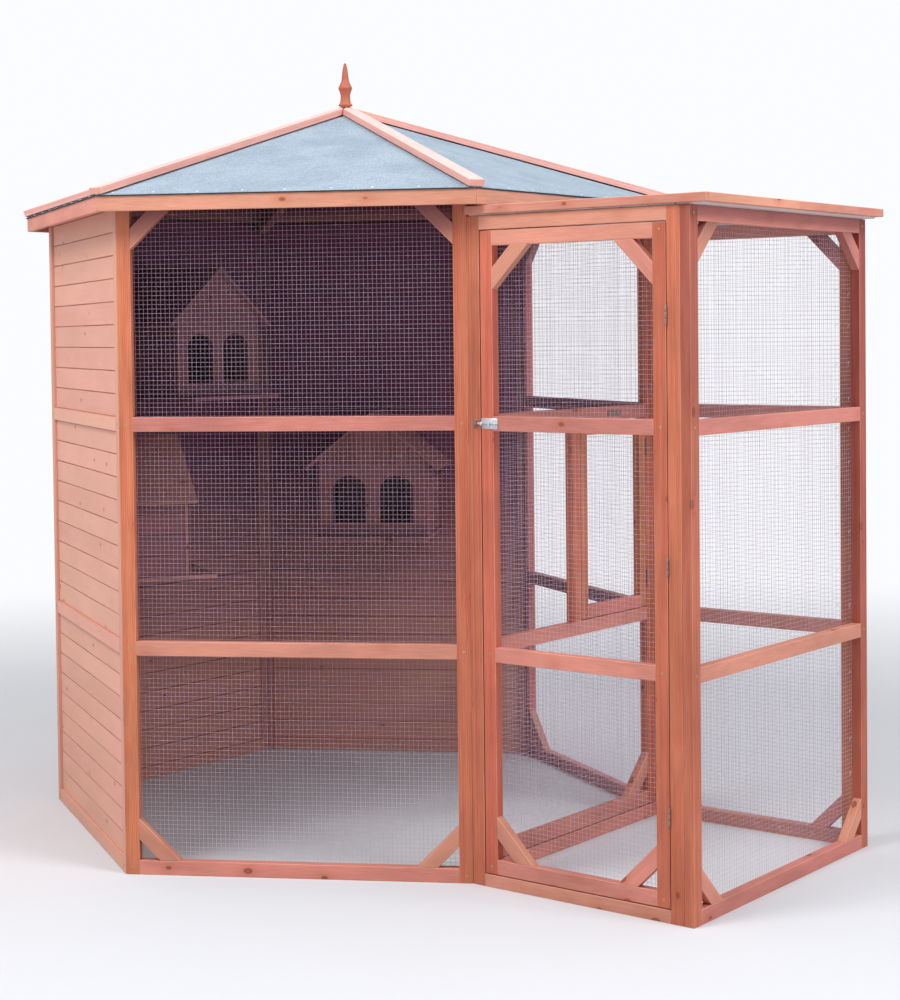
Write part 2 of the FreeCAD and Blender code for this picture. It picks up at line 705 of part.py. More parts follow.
def hang(name, wall, x, y, middles, flipped=False):
    """Hinges at their heights on a wall: the fixed halves with pins, and the moving halves."""
    turn = HALF_TURN if flipped else 0
    drop = hinge_tall / 2 if flipped else -hinge_tall / 2
    for half, pieces in (("fixed", [fixed_leaf, hinge_pin]), ("moving", [moving_leaf])):
        hung = []
        for k, middle in enumerate(middles):
            label = "%s_%s_%d" % (name, half, k)
            hung.append(group(label, pieces, x, y, middle + drop, (1, 0, 0), turn))
        stand("%s_hinges_%s" % (name, half), hung, wall)


def hinge_heights(ends, from_end, with_middle=True):
    outer = [ends[0] + from_end, ends[1] - from_end]
    return outer + [(ends[0] + ends[1]) / 2] if with_middle else outer


front_door_pin = (front_door_x[1] + half_gap, -barrel_stand)
inner_door_pin = (inner_door_x[1] + half_gap, depth + barrel_stand)
hatch_pin = (hatch_x[1] + half_gap, setback - barrel_stand)
hang("front_door", PORCH_FRONT, *front_door_pin, hinge_heights(front_door_z, D["hinge_inset"]))
hang("inner_door", INNER, *inner_door_pin, hinge_heights(inner_door_z, D["hinge_inset"]), flipped=True)
hang("hatch", INNER, *hatch_pin, hinge_heights(hatch_z, D["hatch_hinge_inset"], with_middle=False))


# Slide bolts. X starts at the post's edge and runs over the leaf, Y is 0 on the post's face.
plate_thin = D["bolt_plate_thickness"]
strip = D["bolt_strip"]
bar_radius = D["bolt_radius"]
plate_face = setback - plate_thin
bar_y = plate_face - gap - bar_radius
bridge_y = (bar_y - bar_radius - gap - strip, bar_y - bar_radius - gap)
eye = bar_radius + gap
plate_start = door_gap + setback
bolt_z = upper + rail / 2


def strap(name, x, root):
    """A strip bent over the bar: an upper and a lower leg, and the bridge between them."""
    legs = (bridge_y[0], root)
    return [
        box(name + "_upper", x, legs, (eye, eye + strip)),
        box(name + "_lower", x, legs, (-eye - strip, -eye)),
        box(name + "_bridge", x, bridge_y, (-eye, eye)),
    ]


def bolt_guides():
    """The plate on the leaf and its two guides."""
    half = D["bolt_plate_height"] / 2
    along = (plate_start, plate_start + D["bolt_plate_length"])
    parts = [box("bolt_plate", along, (plate_face, setback), (-half, half))]
    for k in range(2):
        start = plate_start + D["bolt_guide_spacing"] * k
        parts += strap("bolt_guide_%d" % k, (start, start + D["bolt_guide_width"]), plate_face)
    return parts


def bolt_keeper(name, from_edge, width):
    """The strap on the post that the bar slides into, with a foot above and below."""
    x = (-from_edge - width, -from_edge)
    reach = eye + D["keeper_foot"]
    feet = [
        box(name + "_foot_upper", x, (-strip, 0), (eye, reach)),
        box(name + "_foot_lower", x, (-strip, 0), (-reach, -eye)),
    ]
    return feet + strap(name, x, -strip)


def bolt_bar(name, tip):
    """The round bar with its knob, its tip at a place along X."""
    knob_x = tip + D["bolt_reach"] - D["bolt_knob_inset"]
    bar = cylinder(name + "_bar", bar_radius, D["bolt_reach"], tip, bar_y, 0, (0, 1, 0), RIGHT_ANGLE)
    knob = cylinder(name + "_knob", D["bolt_knob_radius"], bar_radius + D["bolt_knob_height"],
                    knob_x, bar_y, 0, (1, 0, 0), RIGHT_ANGLE)
    return fuse(name + "_round", [bar, knob])


bolt_fittings = bolt_guides()
front_keeper = bolt_keeper("front_keeper", D["keeper_setback"], D["keeper_width"])
inner_keeper = bolt_keeper("inner_keeper", D["inner_keeper_setback"], D["inner_keeper_width"])
bolt_sites = (
    ("front_door", PORCH_FRONT, D["bolt_rest_gap"] - D["keeper_setback"], front_keeper),
    ("inner_door", INNER, plate_start, inner_keeper),
)
keepers = []
for door, wall, tip, keeper in bolt_sites:
    held = group(door + "_keeper", keeper, x=stile, z=bolt_z)
    keepers.append(group(door + "_keeper_stand", [held], wall.x, wall.y, angle=wall.angle))
    stand(door + "_bolt_guides", [group(door + "_guides", bolt_fittings, x=stile, z=bolt_z)], wall)
    stand(door + "_bolt", [group(door + "_bar", [bolt_bar(door, tip)], x=stile, z=bolt_z)], wall)
node("bolt_keepers", keepers)

half_button = D["button_length"] / 2
half_button_width = D["button_width"] / 2
button_face = setback - gap
button_front = button_face - D["button_thickness"]
button_plate = box("button_plate", (-half_button, half_button), (button_front, button_face),
                   (-half_button_width, half_button_width))
button_head = cylinder("button_head", D["button_head_radius"], D["button_head_height"],
                       0, button_front, 0, (1, 0, 0), RIGHT_ANGLE)
button_x = (hatch_x[0] + hatch_x[1]) / 2
button = group("button_turned", [fuse("button", [button_plate, button_head])], x=button_x, z=bolt_z)
stand("hatch_button", [button], INNER)


# Porch roof, in the inner wall's frame, where Y below zero is over the porch.
edge = D["porch_edging_thickness"]
roof_x = (-porch_front, length + porch_back)
roof_y = (-(porch + porch_side), -gap)
deck_x = inset(roof_x, edge + gap)
deck_y = (roof_y[0] + edge + gap, roof_y[1])
deck_step = (deck_y[1] - deck_y[0]) / DECK_BOARDS
deck = []
for k in range(DECK_BOARDS):
    start = deck_y[0] + deck_step * k
    across = (start, start + deck_step - D["porch_deck_groove"])
    deck.append(box("deck_board_%d" % k, deck_x, across, (deck_bottom, porch_top - felt)))
stand("porch_roof_deck", deck, INNER)
stand("porch_roof_felt", [box("porch_felt", deck_x, deck_y, (porch_top - felt, porch_top))], INNER)

edging_z = (porch_top - D["porch_edging_height"], porch_top)
long_run = deck_x[1] - deck_x[0]
edging = [
    box("edging_front", (roof_x[0], roof_x[0] + edge), roof_y, edging_z),
    box("edging_back", (roof_x[1] - edge, roof_x[1]), roof_y, edging_z),
]
for k, (low, high) in enumerate(zip(EDGING_JOINT_SHARES, EDGING_JOINT_SHARES[1:])):
    ends = (deck_x[0] + long_run * low, deck_x[0] + long_run * high - D["edging_joint"])
    edging.append(box("edging_side_%d" % k, ends, (roof_y[0], roof_y[0] + edge), edging_z))
stand("porch_roof_edging", edging, INNER)


# Main roof. Each piece is made for one side or corner and repeated round the axis.
def ring(name, piece):
    """A sub-part of six like pieces round the middle of the hexagon."""
    copies = [group("%s_%d" % (name, k), [piece], angle=k * SIXTH_TURN) for k in range(HEXAGON)]
    return node(name, copies, centre_x, centre_y)


def slope_sheet(name, start, thick, below, hip_gap):
    """A sheet on one side of the roof, from a place in from the wall's face up to the crown."""
    run = apothem - D["crown_radius"] - start
    wide = (apothem - start) * TAN_30 - hip_gap
    narrow = D["crown_radius"] * TAN_30 - hip_gap
    block = wedge(name, (-wide, wide), (0, run * stretch), (-thick, 0), (-narrow, narrow))
    return place(block, 0, start - apothem, roof_top(start) - below, (1, 0, 0), roof_angle)


board_start = D["fascia_thickness"] + gap - eave
roof_board = slope_sheet("roof_board", board_start, D["roof_board_thickness"], felt * stretch,
                         D["board_hip_gap"])
felt_sheet = slope_sheet("felt_sheet", -eave - D["felt_drip"], felt, length * 0, D["felt_hip_gap"])
ring("roof_boards", roof_board)
ring("roof_felt", felt_sheet)

fascia_wide = (apothem + eave) * TAN_30 - gap
fascia_narrow = (apothem + eave - D["fascia_thickness"]) * TAN_30 - gap
fascia = wedge("fascia", (-fascia_wide, fascia_wide), (0, D["fascia_thickness"]), (0, D["fascia_height"]),
               (-fascia_narrow, fascia_narrow))
ring("roof_fascias", place(fascia, 0, -apothem - eave, fascia_bottom))


def hip_batten():
    """A batten along a hip, mitred at the crown to lie beside its neighbours."""
    start = D["crown_radius"]
    half = D["batten_width"] / 2
    tip = start * TAN_30 - D["batten_side_gap"]
    shoulder = (half + D["batten_side_gap"]) / TAN_30 - start
    end = (batten_end - start) * hip_stretch
    body = DOC.addObject("PartDesign::Body", "hip_batten")
    near = ((length * 0, tip), (length * 0, -tip))
    outline = near + ((shoulder, -half), (end, -half), (end, half), (shoulder, half))
    sketch = body_sketch(body, "batten_outline", [outline])
    pad = body.newObject("PartDesign::Pad", "batten_pad")
    pad.Profile = sketch
    bind(pad, "Length", D["batten_thickness"])
    return place(body, start, 0, hip_top(start) + gap, (0, 1, 0), hip_angle)


ring("hip_battens", hip_batten())

rafter_half = D["rafter_width"] / 2
king_flat = D["king_radius"] * COS_30
rafter_start = king_flat + D["rafter_height"] * D["roof_rise"] / hip_run + gap
rafter_end = (apothem - depth) / COS_30 - rafter_half * TAN_30 - gap
rafter_top = hip_top(rafter_start) - roof_stack - pitch * rafter_half / 2 - gap
rafter_run = (rafter_end - rafter_start) * hip_stretch
rafter = box("rafter", (length * 0, rafter_run), (-rafter_half, rafter_half),
             (-D["rafter_height"], length * 0))
# The block's own place is its corner, so it is moved inside a group and the group is tilted.
ring("hip_rafters", group("rafter_tilted", [rafter], rafter_start, 0, rafter_top, (0, 1, 0), hip_angle))

king_top = height + pitch * (apothem - D["king_radius"])
king = DOC.addObject("Part::Prism", "king_prism")
king.Polygon = HEXAGON
bind(king, "Circumradius", D["king_radius"])
bind(king, "Height", D["king_height"])
place(king, z=king_top - D["king_height"], angle=TWELFTH_TURN)
peg_hole = cylinder("peg_hole", D["peg_radius"] + D["peg_gap"], D["king_height"],
                    z=king_top - D["king_height"])
node("king_block", [cut("king", king, peg_hole)], centre_x, centre_y)


def finial():
    """The turned finial: peg, foot, hollow neck, sharp bead, spire and rounded tip."""
    seat = hip_top(length * 0) + gap + D["batten_thickness"] * hip_stretch
    slope = hip_pitch * COS_30
    peg_foot = king_top - D["peg_bite"] - seat
    foot = D["finial_base_radius"]
    neck = D["finial_neck_radius"]
    foot_top = D["finial_base_height"]
    cove = foot_top + D["finial_cove_height"]
    neck_foot = cove + D["finial_shoulder"]
    neck_top = neck_foot + D["finial_neck_height"]
    flare = neck_top + D["finial_flare_height"]
    bead_foot = flare + D["finial_bead_foot"]
    bead_top = bead_foot + D["finial_bead_height"]
    waist = bead_top + D["finial_waist_height"]
    spire = waist + D["finial_spire_height"]
    tip = D["finial_tip_radius"]
    tip_foot = spire + D["finial_tip_height"]
    outline = (
        (length * 0, peg_foot), (D["peg_radius"], peg_foot),
        (D["peg_radius"], gap - slope * D["peg_radius"]), (foot, gap - slope * foot), (foot, foot_top),
        (D["finial_cove_radius"], cove), (neck, neck_foot), (neck, neck_top),
        (D["finial_flare_radius"], flare), (D["finial_bead_radius"], bead_foot),
        (D["finial_bead_radius"], bead_top), (D["finial_waist_radius"], waist),
        (D["finial_collar_radius"], spire), (tip, tip_foot, tip), (length * 0, tip_foot + tip),
    )
    body = DOC.addObject("PartDesign::Body", "finial_body")
    sketch = body_sketch(body, "finial_outline", [outline])
    turned = body.newObject("PartDesign::Revolution", "finial_turned")
    turned.Profile = sketch
    turned.ReferenceAxis = (sketch, ["V_Axis"])
    return place(body, 0, 0, seat, (1, 0, 0), RIGHT_ANGLE)


node("finial", [finial()], centre_x, centre_y)


# Nest boxes. X runs across the box from its middle, Y from the wall into the room.
nest_half = D["nest_width"] / 2
nest_deep = D["nest_depth"]
nest_eave = D["nest_eave"]
nest_thin = D["nest_panel"]
shelf_top = D["nest_shelf_thickness"]
nest_groove = D["nest_groove"]
front_top = nest_eave - D["nest_gable_foot"]


def nest_sides():
    """The boarded sides, the back and the shelf that is also the floor."""
    beyond = nest_half + D["nest_shelf_side"]
    within = nest_half - nest_thin - gap
    parts = [
        box("nest_shelf", (-beyond, beyond), (0, nest_deep + D["nest_shelf_projection"]), (0, shelf_top)),
        box("nest_back", (-within, within), (0, nest_thin), (shelf_top, nest_eave)),
    ]
    board = (nest_eave - shelf_top) / NEST_SIDE_BOARDS
    for k in range(NEST_SIDE_BOARDS):
        foot = shelf_top + board * k
        upright = (foot, foot + board - nest_groove)
        along = (0, nest_deep - nest_thin - gap)
        parts.append(box("nest_left_%d" % k, (-nest_half, nest_thin - nest_half), along, upright))
        parts.append(box("nest_right_%d" % k, (nest_half - nest_thin, nest_half), along, upright))
    return parts


def nest_gable():
    """Upright boards under the roof's slopes, standing a little proud of the front."""
    parts = []
    board = D["nest_width"] / GABLE_BOARDS

    def tall(x):
        """Height of the gable at a distance from its middle."""
        return D["nest_rise"] * (nest_half - x) / nest_half + D["nest_gable_foot"]

    for k in range(GABLE_BOARDS):
        start = board * k - nest_half
        end = start + board - nest_groove
        if k < GABLE_BOARDS / 2:
            heights = (tall(-start), tall(-end))
        else:
            heights = (tall(start), tall(end))
        block = wedge("gable_board_%d" % k, (-nest_thin, 0), (start, end), (0, heights[0]),
                      far_z=(0, heights[1]))
        spot = nest_deep - nest_thin + D["nest_gable_proud"]
        parts.append(place(block, 0, spot, front_top, angle=-RIGHT_ANGLE))
    return parts


def nest_front():
    """The front under the gable, with its two arched doorways."""
    body = DOC.addObject("PartDesign::Body", "nest_front_body")
    tall = front_top - shelf_top
    plate = ((-nest_half, length * 0), (nest_half, length * 0), (nest_half, tall), (-nest_half, tall))
    pad = body.newObject("PartDesign::Pad", "nest_front_pad")
    pad.Profile = body_sketch(body, "nest_front_outline", [plate])
    bind(pad, "Length", nest_thin)
    half_arch = D["arch_width"] / 2
    bow = arc_radius(D["arch_width"], D["arch_rise"])
    foot = D["arch_sill"]
    spring = foot + D["arch_height"] - D["arch_rise"]
    loops = []
    for middle in (-(D["arch_spacing"] / 2), D["arch_spacing"] / 2):
        left = middle - half_arch
        right = middle + half_arch
        loops.append(((left, foot), (right, foot), (right, spring, bow), (left, spring)))
    pocket = body.newObject("PartDesign::Pocket", "nest_doorways")
    pocket.Profile = body_sketch(body, "nest_doorway_outline", loops)
    pocket.Type = "ThroughAll"
    pocket.Reversed = True
    return place(body, 0, nest_deep, shelf_top, (1, 0, 0), RIGHT_ANGLE)


def nest_roof():
    """Two boarded slopes that meet on the ridge."""
    angle = angle_of(D["nest_rise"], nest_half)
    to_eave = (nest_half + D["nest_roof_side"]) / nest_half
    board = root_of_squares(D["nest_rise"], nest_half) * to_eave / NEST_ROOF_BOARDS
    thick = D["nest_roof_thickness"]
    ridge = thick * D["nest_rise"] / nest_half
    deep = nest_deep + D["nest_roof_front"]
    boards = []
    for k in range(NEST_ROOF_BOARDS):
        span = (board * k, board * (k + 1) - nest_groove)
        upper_face = (-ridge, span[1]) if k == 0 else span
        block = wedge("nest_roof_board_%d" % k, span, (0, thick), (-deep, 0), upper_face)
        boards.append(place(block, axis=(1, 0, 0), angle=RIGHT_ANGLE))
    seat = nest_eave + D["nest_rise"] + gap
    right = group("nest_roof_right", boards, z=seat, axis=(0, 1, 0), angle=angle)
    left = group("nest_roof_left", [right], y=deep, angle=HALF_TURN)
    return [right, left]


nest_body_parts = nest_sides() + nest_gable()
nest_front_part = nest_front()
nest_roof_parts = nest_roof()
nest_y = D["board_setback"] + D["board_thickness"] + gap
for side, wall in (("left_front", LEFT_FRONT), ("left_back", LEFT_BACK), ("back", BACK)):
    spot_x, spot_y = wall.point(D[side + "_nest_x"], nest_y)
    shelf_z = D[side + "_nest_z"]
    node(side + "_nest_body", nest_body_parts, spot_x, spot_y, shelf_z, wall.angle)
    node(side + "_nest_front", [nest_front_part], spot_x, spot_y, shelf_z, wall.angle)
    node(side + "_nest_roof", nest_roof_parts, spot_x, spot_y, shelf_z, wall.angle)


# Panel screws: one head where each rail meets a stile.
screw_head = cylinder("screw_head", D["screw_head_radius"], D["screw_head_height"],
                      axis=(1, 0, 0), angle=RIGHT_ANGLE)


def screws_on(name, wall, ends, undersides):
    """Screw heads on a wall's two stiles."""
    heads = []
    for side, x in enumerate((ends[0] + stile / 2, ends[1] - stile / 2)):
        for k, z in enumerate(undersides):
            heads.append(group("%s_screw_%d_%d" % (name, side, k), [screw_head], x=x, z=z + rail / 2))
    return group(name + "_screws", heads, wall.x, wall.y, angle=wall.angle)


panel_rails = (length * 0, lower, upper, height - rail)
main_ends = (length * 0, length)
screw_groups = [
    screws_on("front", FRONT, main_ends, panel_rails),
    screws_on("right_back", RIGHT_BACK, main_ends, panel_rails),
    screws_on("back", BACK, main_ends, panel_rails),
    screws_on("left_back", LEFT_BACK, main_ends, panel_rails),
    screws_on("left_front", LEFT_FRONT, main_ends, panel_rails),
    screws_on("porch_outer", PORCH_OUTER, main_ends, porch_rails),
    screws_on("porch_back", PORCH_BACK, (depth + gap, porch - gap), porch_rails),
]
node("panel_screws", screw_groups)


# Check everything, then write one file for each sub-part.
DOC.recompute()
for thing in DOC.Objects:
    if "Invalid" in thing.State or "Error" in thing.State:
        raise RuntimeError("%s could not be made: %s" % (thing.Name, thing.State))
for sub_part in NODES:
    if sub_part.Shape.isNull() or not sub_part.Shape.isValid():
        raise RuntimeError("%s has no valid shape" % sub_part.Label)

os.makedirs("parts", exist_ok=True)
for sub_part in NODES:
    sub_part.Shape.exportStep(os.path.join("parts", sub_part.Label + ".step"))
print("%d sub-parts written" % len(NODES))
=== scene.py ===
"""Bird aviary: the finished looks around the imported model.

Every timber is planed and given its own grain, the wire mesh is drawn wire by wire, and the roofing
felt, fittings, screws and staples are made anew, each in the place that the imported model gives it.
"""

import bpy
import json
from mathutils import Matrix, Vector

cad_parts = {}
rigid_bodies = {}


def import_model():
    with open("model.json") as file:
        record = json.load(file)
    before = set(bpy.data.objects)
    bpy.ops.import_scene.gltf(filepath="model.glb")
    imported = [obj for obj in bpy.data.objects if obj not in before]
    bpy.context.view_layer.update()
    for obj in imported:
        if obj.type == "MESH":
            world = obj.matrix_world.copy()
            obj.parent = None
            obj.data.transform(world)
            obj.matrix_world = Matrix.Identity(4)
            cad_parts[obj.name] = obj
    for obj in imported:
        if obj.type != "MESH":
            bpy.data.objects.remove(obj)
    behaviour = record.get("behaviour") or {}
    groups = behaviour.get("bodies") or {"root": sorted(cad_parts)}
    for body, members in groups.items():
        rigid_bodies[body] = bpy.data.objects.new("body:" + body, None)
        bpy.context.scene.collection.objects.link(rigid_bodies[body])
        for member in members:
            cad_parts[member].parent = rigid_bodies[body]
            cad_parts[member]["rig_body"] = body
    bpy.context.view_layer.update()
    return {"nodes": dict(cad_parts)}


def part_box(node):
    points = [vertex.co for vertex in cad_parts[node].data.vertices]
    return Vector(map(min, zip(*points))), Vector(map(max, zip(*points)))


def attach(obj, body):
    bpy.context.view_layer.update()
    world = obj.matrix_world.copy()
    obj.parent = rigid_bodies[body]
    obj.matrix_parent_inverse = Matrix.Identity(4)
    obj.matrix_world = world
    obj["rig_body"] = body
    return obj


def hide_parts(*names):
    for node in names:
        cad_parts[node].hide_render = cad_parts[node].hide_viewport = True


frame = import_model()

import json
import math
import random

import bmesh
import bpy
from bpy.props import FloatProperty, FloatVectorProperty, IntProperty, PointerProperty
from mathutils import Matrix, Vector, noise

bl_info = {
    "name": "Bird Aviary",
    "version": (1, 0, 0),
    "blender": (4, 5, 0),
    "location": "3D View > Sidebar > Aviary",
    "description": "Finishes a hexagonal timber aviary around its packed model",
    "category": "Object",
}


def middle_of(node):
    """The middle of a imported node's box."""
    low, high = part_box(node)
    return (low + high) / 2


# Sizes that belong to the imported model, in metres.
SIDE = 1.0
APOTHEM = SIDE * math.sqrt(3) / 2
PORCH_DEPTH = 0.71
HEXAGON_MIDDLE = middle_of("king_block")
MAIN_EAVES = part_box("roof_fascias")[0].z
PORCH_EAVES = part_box("porch_roof_edging")[0].z

# What counts as one point, the same height, a level face, a sharp edge and an upright timber.
WELD_STEP = 1e-6
SAME_PLACE = 1e-4
FLAT_ANGLE = 0.002
SHARP_ANGLE = math.radians(30)
UPRIGHT_FROM = 0.8
UP = Vector((0, 0, 1))

# The camera's place from the hexagon's middle, its height, and its turns in radians.
CAMERA_FROM_MIDDLE = Vector((1.1840, -6.2227, 0))
CAMERA_HEIGHT = 1.5290
CAMERA_YAW = 0.1365
CAMERA_PITCH = -0.0333
CAMERA_ROLL = 0.0110


def wall_place(middle, degrees):
    """The frame of a wall: X along it, Y inward from its outer face, Z up."""
    turn = Matrix.Rotation(math.radians(degrees), 4, "Z")
    return Matrix.Translation(Vector((middle.x, middle.y, 0))) @ turn


def hexagon_wall(number):
    """One of the six walls, counted from the front one, against the clock."""
    return wall_place(HEXAGON_MIDDLE, number * 60) @ Matrix.Translation((-SIDE / 2, -APOTHEM, 0))


WALLS = {
    "front": hexagon_wall(0),
    "inner": hexagon_wall(1),
    "right_back": hexagon_wall(2),
    "back": hexagon_wall(3),
    "left_back": hexagon_wall(4),
    "left_front": hexagon_wall(5),
}
WALLS["porch_front"] = wall_place(WALLS["inner"] @ Vector((0, 0, 0)), -30)
WALLS["porch_outer"] = wall_place(WALLS["inner"] @ Vector((0, -PORCH_DEPTH, 0)), 60)
WALLS["porch_back"] = wall_place(WALLS["inner"] @ Vector((SIDE, -PORCH_DEPTH, 0)), 150)


def paint(red, green, blue):
    """A colour from 0 to 255 a channel, as Blender's linear values."""
    linear = []
    for channel in (red, green, blue):
        share = channel / 255
        linear.append(share / 12.92 if share <= 0.04045 else ((share + 0.055) / 1.055) ** 2.4)
    return (*linear, 1.0)


def colour_property(name, description, shade):
    return FloatVectorProperty(name=name, description=description, subtype="COLOR", size=4,
                               min=0, max=1, default=paint(*shade))


def length_property(name, description, metres):
    return FloatProperty(name=name, description=description, default=metres, min=0,
                         precision=5, subtype="DISTANCE", unit="LENGTH")


def number_property(name, description, number, **limits):
    return FloatProperty(name=name, description=description, default=number, min=0, **limits)


def power_property(name, description, watts):
    return FloatProperty(name=name, description=description, default=watts, min=0, unit="POWER")


class AviaryTimber(bpy.types.PropertyGroup):
    """Stain and planing of the timber."""

    arris: length_property("Arris", "Width of the rounded edge of a frame timber", 0.0016)
    board_arris: length_property("Board Arris", "Width of the bevel beside a board's joint", 0.0022)
    fine_arris: length_property("Fine Arris", "Width of the rounded edge of a nest box's boards", 0.0009)
    ring_width: length_property("Ring Width", "Distance between two growth rings", 0.0052)
    frame_stain: colour_property("Frame Stain", "Stain on frames, doors and roof edges", (201, 122, 90))
    frame_late: colour_property("Frame Late Wood", "Darker lines of the frames' grain", (184, 92, 62))
    frame_pale: colour_property("Pale Stain", "Thinner stain on level timbers", (214, 145, 127))
    board_stain: colour_property("Board Stain", "Stain on the wall boards", (232, 170, 148))
    board_late: colour_property("Board Late Wood", "Darker lines of the boards' grain", (212, 140, 116))
    # The boards' joint colour is gathered stain, and painted shade in the grooves too.
    board_joint_stain_and_shade: colour_property("Board Joint", "Stain gathered in the boards' joints", (146, 82, 62))
    hip_stain: colour_property("Batten Stain", "Stain on the sides of the hip battens", (230, 174, 160))
    hip_late: colour_property("Batten Late Wood", "Darker lines of the battens' grain", (208, 142, 126))
    # The battens' top colour is a painted highlight on the faces that face up.
    batten_top_highlight: colour_property("Batten Top Highlight", "Painted highlights on the tops of the hip battens", (216, 193, 187))
    deck_stain: colour_property("Deck Wash", "Pale wash under the porch roof", (226, 214, 212))
    knot: colour_property("Knot", "Colour of the knots", (126, 62, 42))
    worn: colour_property("Worn Arris", "Colour of a rubbed edge", (236, 176, 150))
    # Shade Tint and Deep Shade are painted shade: the colours a timber is tinted and darkened towards
    # where shade is painted on it.
    sheltered: colour_property("Sheltered", "What the dim inside leaves of a colour", (148, 106, 172))
    gloom: colour_property("Gloom", "Colour that timbers share in the dimmest places", (86, 38, 58))


class AviaryMesh(bpy.types.PropertyGroup):
    """Welded wire mesh and its staples."""

    pitch: length_property("Pitch", "Distance from wire to wire", 0.0127)
    wire: length_property("Wire", "Thickness of a wire", 0.0006)
    wave: length_property("Wave", "How far a wire strays from a straight line", 0.0004)
    staple_spacing: length_property("Staple Spacing", "Distance between two staples", 0.105)
    staple_width: length_property("Staple Width", "Width of a staple's crown", 0.011)
    shade: colour_property("Wire Colour", "Colour of the galvanised wire", (204, 186, 212))


class AviaryRoof(bpy.types.PropertyGroup):
    """Roofing felt and the roof's boards."""

    felt: colour_property("Felt", "Colour of the mineral felt", (158, 174, 188))
    felt_dark: colour_property("Felt Grit", "Colour of the darker grit on the felt", (98, 115, 132))
    felt_edge: colour_property("Felt Edge", "Colour of the felt's cut edge", (52, 54, 58))
    ripple: length_property("Ripple", "Height of the felt's ripples", 0.0011)
    drip: length_property("Drip", "How far the felt turns down over the fascia", 0.0042)
    board: length_property("Roof Board", "Width of a board under the felt", 0.095)
    nail_spacing: length_property("Nail Spacing", "Distance between two felt nails", 0.12)
    nail_head: length_property("Nail Head", "Radius of a felt nail's head", 0.0042)


class AviaryFittings(bpy.types.PropertyGroup):
    """Hinges, bolts, screws and the turn button."""

    arris: length_property("Arris", "Width of the rounded edge of a metal part", 0.00025)
    screw_head: length_property("Screw Head", "Radius of a screw's head", 0.0042)
    zinc: colour_property("Zinc", "Colour of the zinc plating", (226, 228, 236))
    steel: colour_property("Dull Steel", "Colour of the weathered hinges", (160, 132, 122))
    screw: colour_property("Screw", "Colour of the passivated screws", (206, 168, 132))


class AviaryStage(bpy.types.PropertyGroup):
    """Floor, light and camera."""

    floor: colour_property("Floor", "Colour of the floor", (214, 216, 220))
    floor_bounce: number_property("Floor Bounce", "Share of its light that the floor throws back",
                                  0.82, max=1)
    sky: colour_property("Sky", "Colour of the light all round", (251, 252, 255))
    sky_strength: number_property("Sky Strength", "Strength of the light all round", 0.6)
    sky_seen: number_property("Sky Seen", "Brightness of the backdrop round the floor", 1.0)
    key_power: power_property("Key Power", "Power of the soft light at the front left", 250)
    side_power: power_property("Side Power", "Power of the soft light at the front right", 240)
    top_power: power_property("Top Power", "Power of the soft light overhead", 60)
    near: length_property("Near Floor", "Where the floor starts to fade into the backdrop", 2.2)
    far: length_property("Far Floor", "Where the floor has become the backdrop", 6.5)
    lens: FloatProperty(name="Lens", description="Focal length of the camera", default=70.39, min=1,
                        unit="CAMERA")
    shift: FloatProperty(name="Shift", description="Upright shift of the camera's picture", default=-0.1)


# Node trees.
class Laid:
    """Lays nodes into a tree, feeding each input from a socket, a node or a plain value."""

    def __init__(self, tree):
        self.tree = tree
        self.count = 0

    def feed(self, socket, value):
        if isinstance(value, bpy.types.NodeSocket):
            self.tree.links.new(value, socket)
        elif isinstance(value, bpy.types.Node):
            self.tree.links.new(value.outputs[0], socket)
        else:
            socket.default_value = value

    def add(self, kind, inputs=None, **settings):
        made = self.tree.nodes.new(kind)
        made.location = (200 * (self.count % 12), -260 * (self.count // 12))
        self.count += 1
        for name, value in settings.items():
            setattr(made, name, value)
        for name, value in (inputs or {}).items():
            self.feed(made.inputs[name], value)
        return made

    def math(self, operation, first, second=0.0, third=0.0):
        inputs = {0: first, 1: second, 2: third}
        return self.add("ShaderNodeMath", inputs, operation=operation).outputs[0]

    def times(self, first, second):
        return self.math("MULTIPLY", first, second)

    def plus(self, first, second):
        return self.math("ADD", first, second)

    def scaled(self, vector, factors):
        return self.add("ShaderNodeVectorMath", {0: vector, 1: factors}, operation="MULTIPLY").outputs[0]

    def moved(self, vector, offset):
        return self.add("ShaderNodeVectorMath", {0: vector, 1: offset}, operation="ADD").outputs[0]

    def ramp(self, value, low, high, to_low=0.0, to_high=1.0, kind="SMOOTHSTEP"):
        inputs = {"Value": value, "From Min": low, "From Max": high, "To Min": to_low, "To Max": to_high}
        return self.add("ShaderNodeMapRange", inputs, interpolation_type=kind).outputs[0]

    def mix(self, share, first, second, blend="MIX"):
        return self.add("ShaderNodeMix", {0: share, 6: first, 7: second}, data_type="RGBA",
                        blend_type=blend).outputs[2]

    def noise(self, vector, scale, detail=2.0, rough=0.5):
        inputs = {"Vector": vector, "Scale": scale, "Detail": detail, "Roughness": rough}
        return self.add("ShaderNodeTexNoise", inputs).outputs[0]

    def cells(self, vector, scale):
        """Scattered cells: a chance number for each, and the distance from its middle."""
        made = self.add("ShaderNodeTexVoronoi", {"Vector": vector, "Scale": scale}).outputs
        return self.add("ShaderNodeSeparateColor", {0: made["Color"]}).outputs[0], made["Distance"]


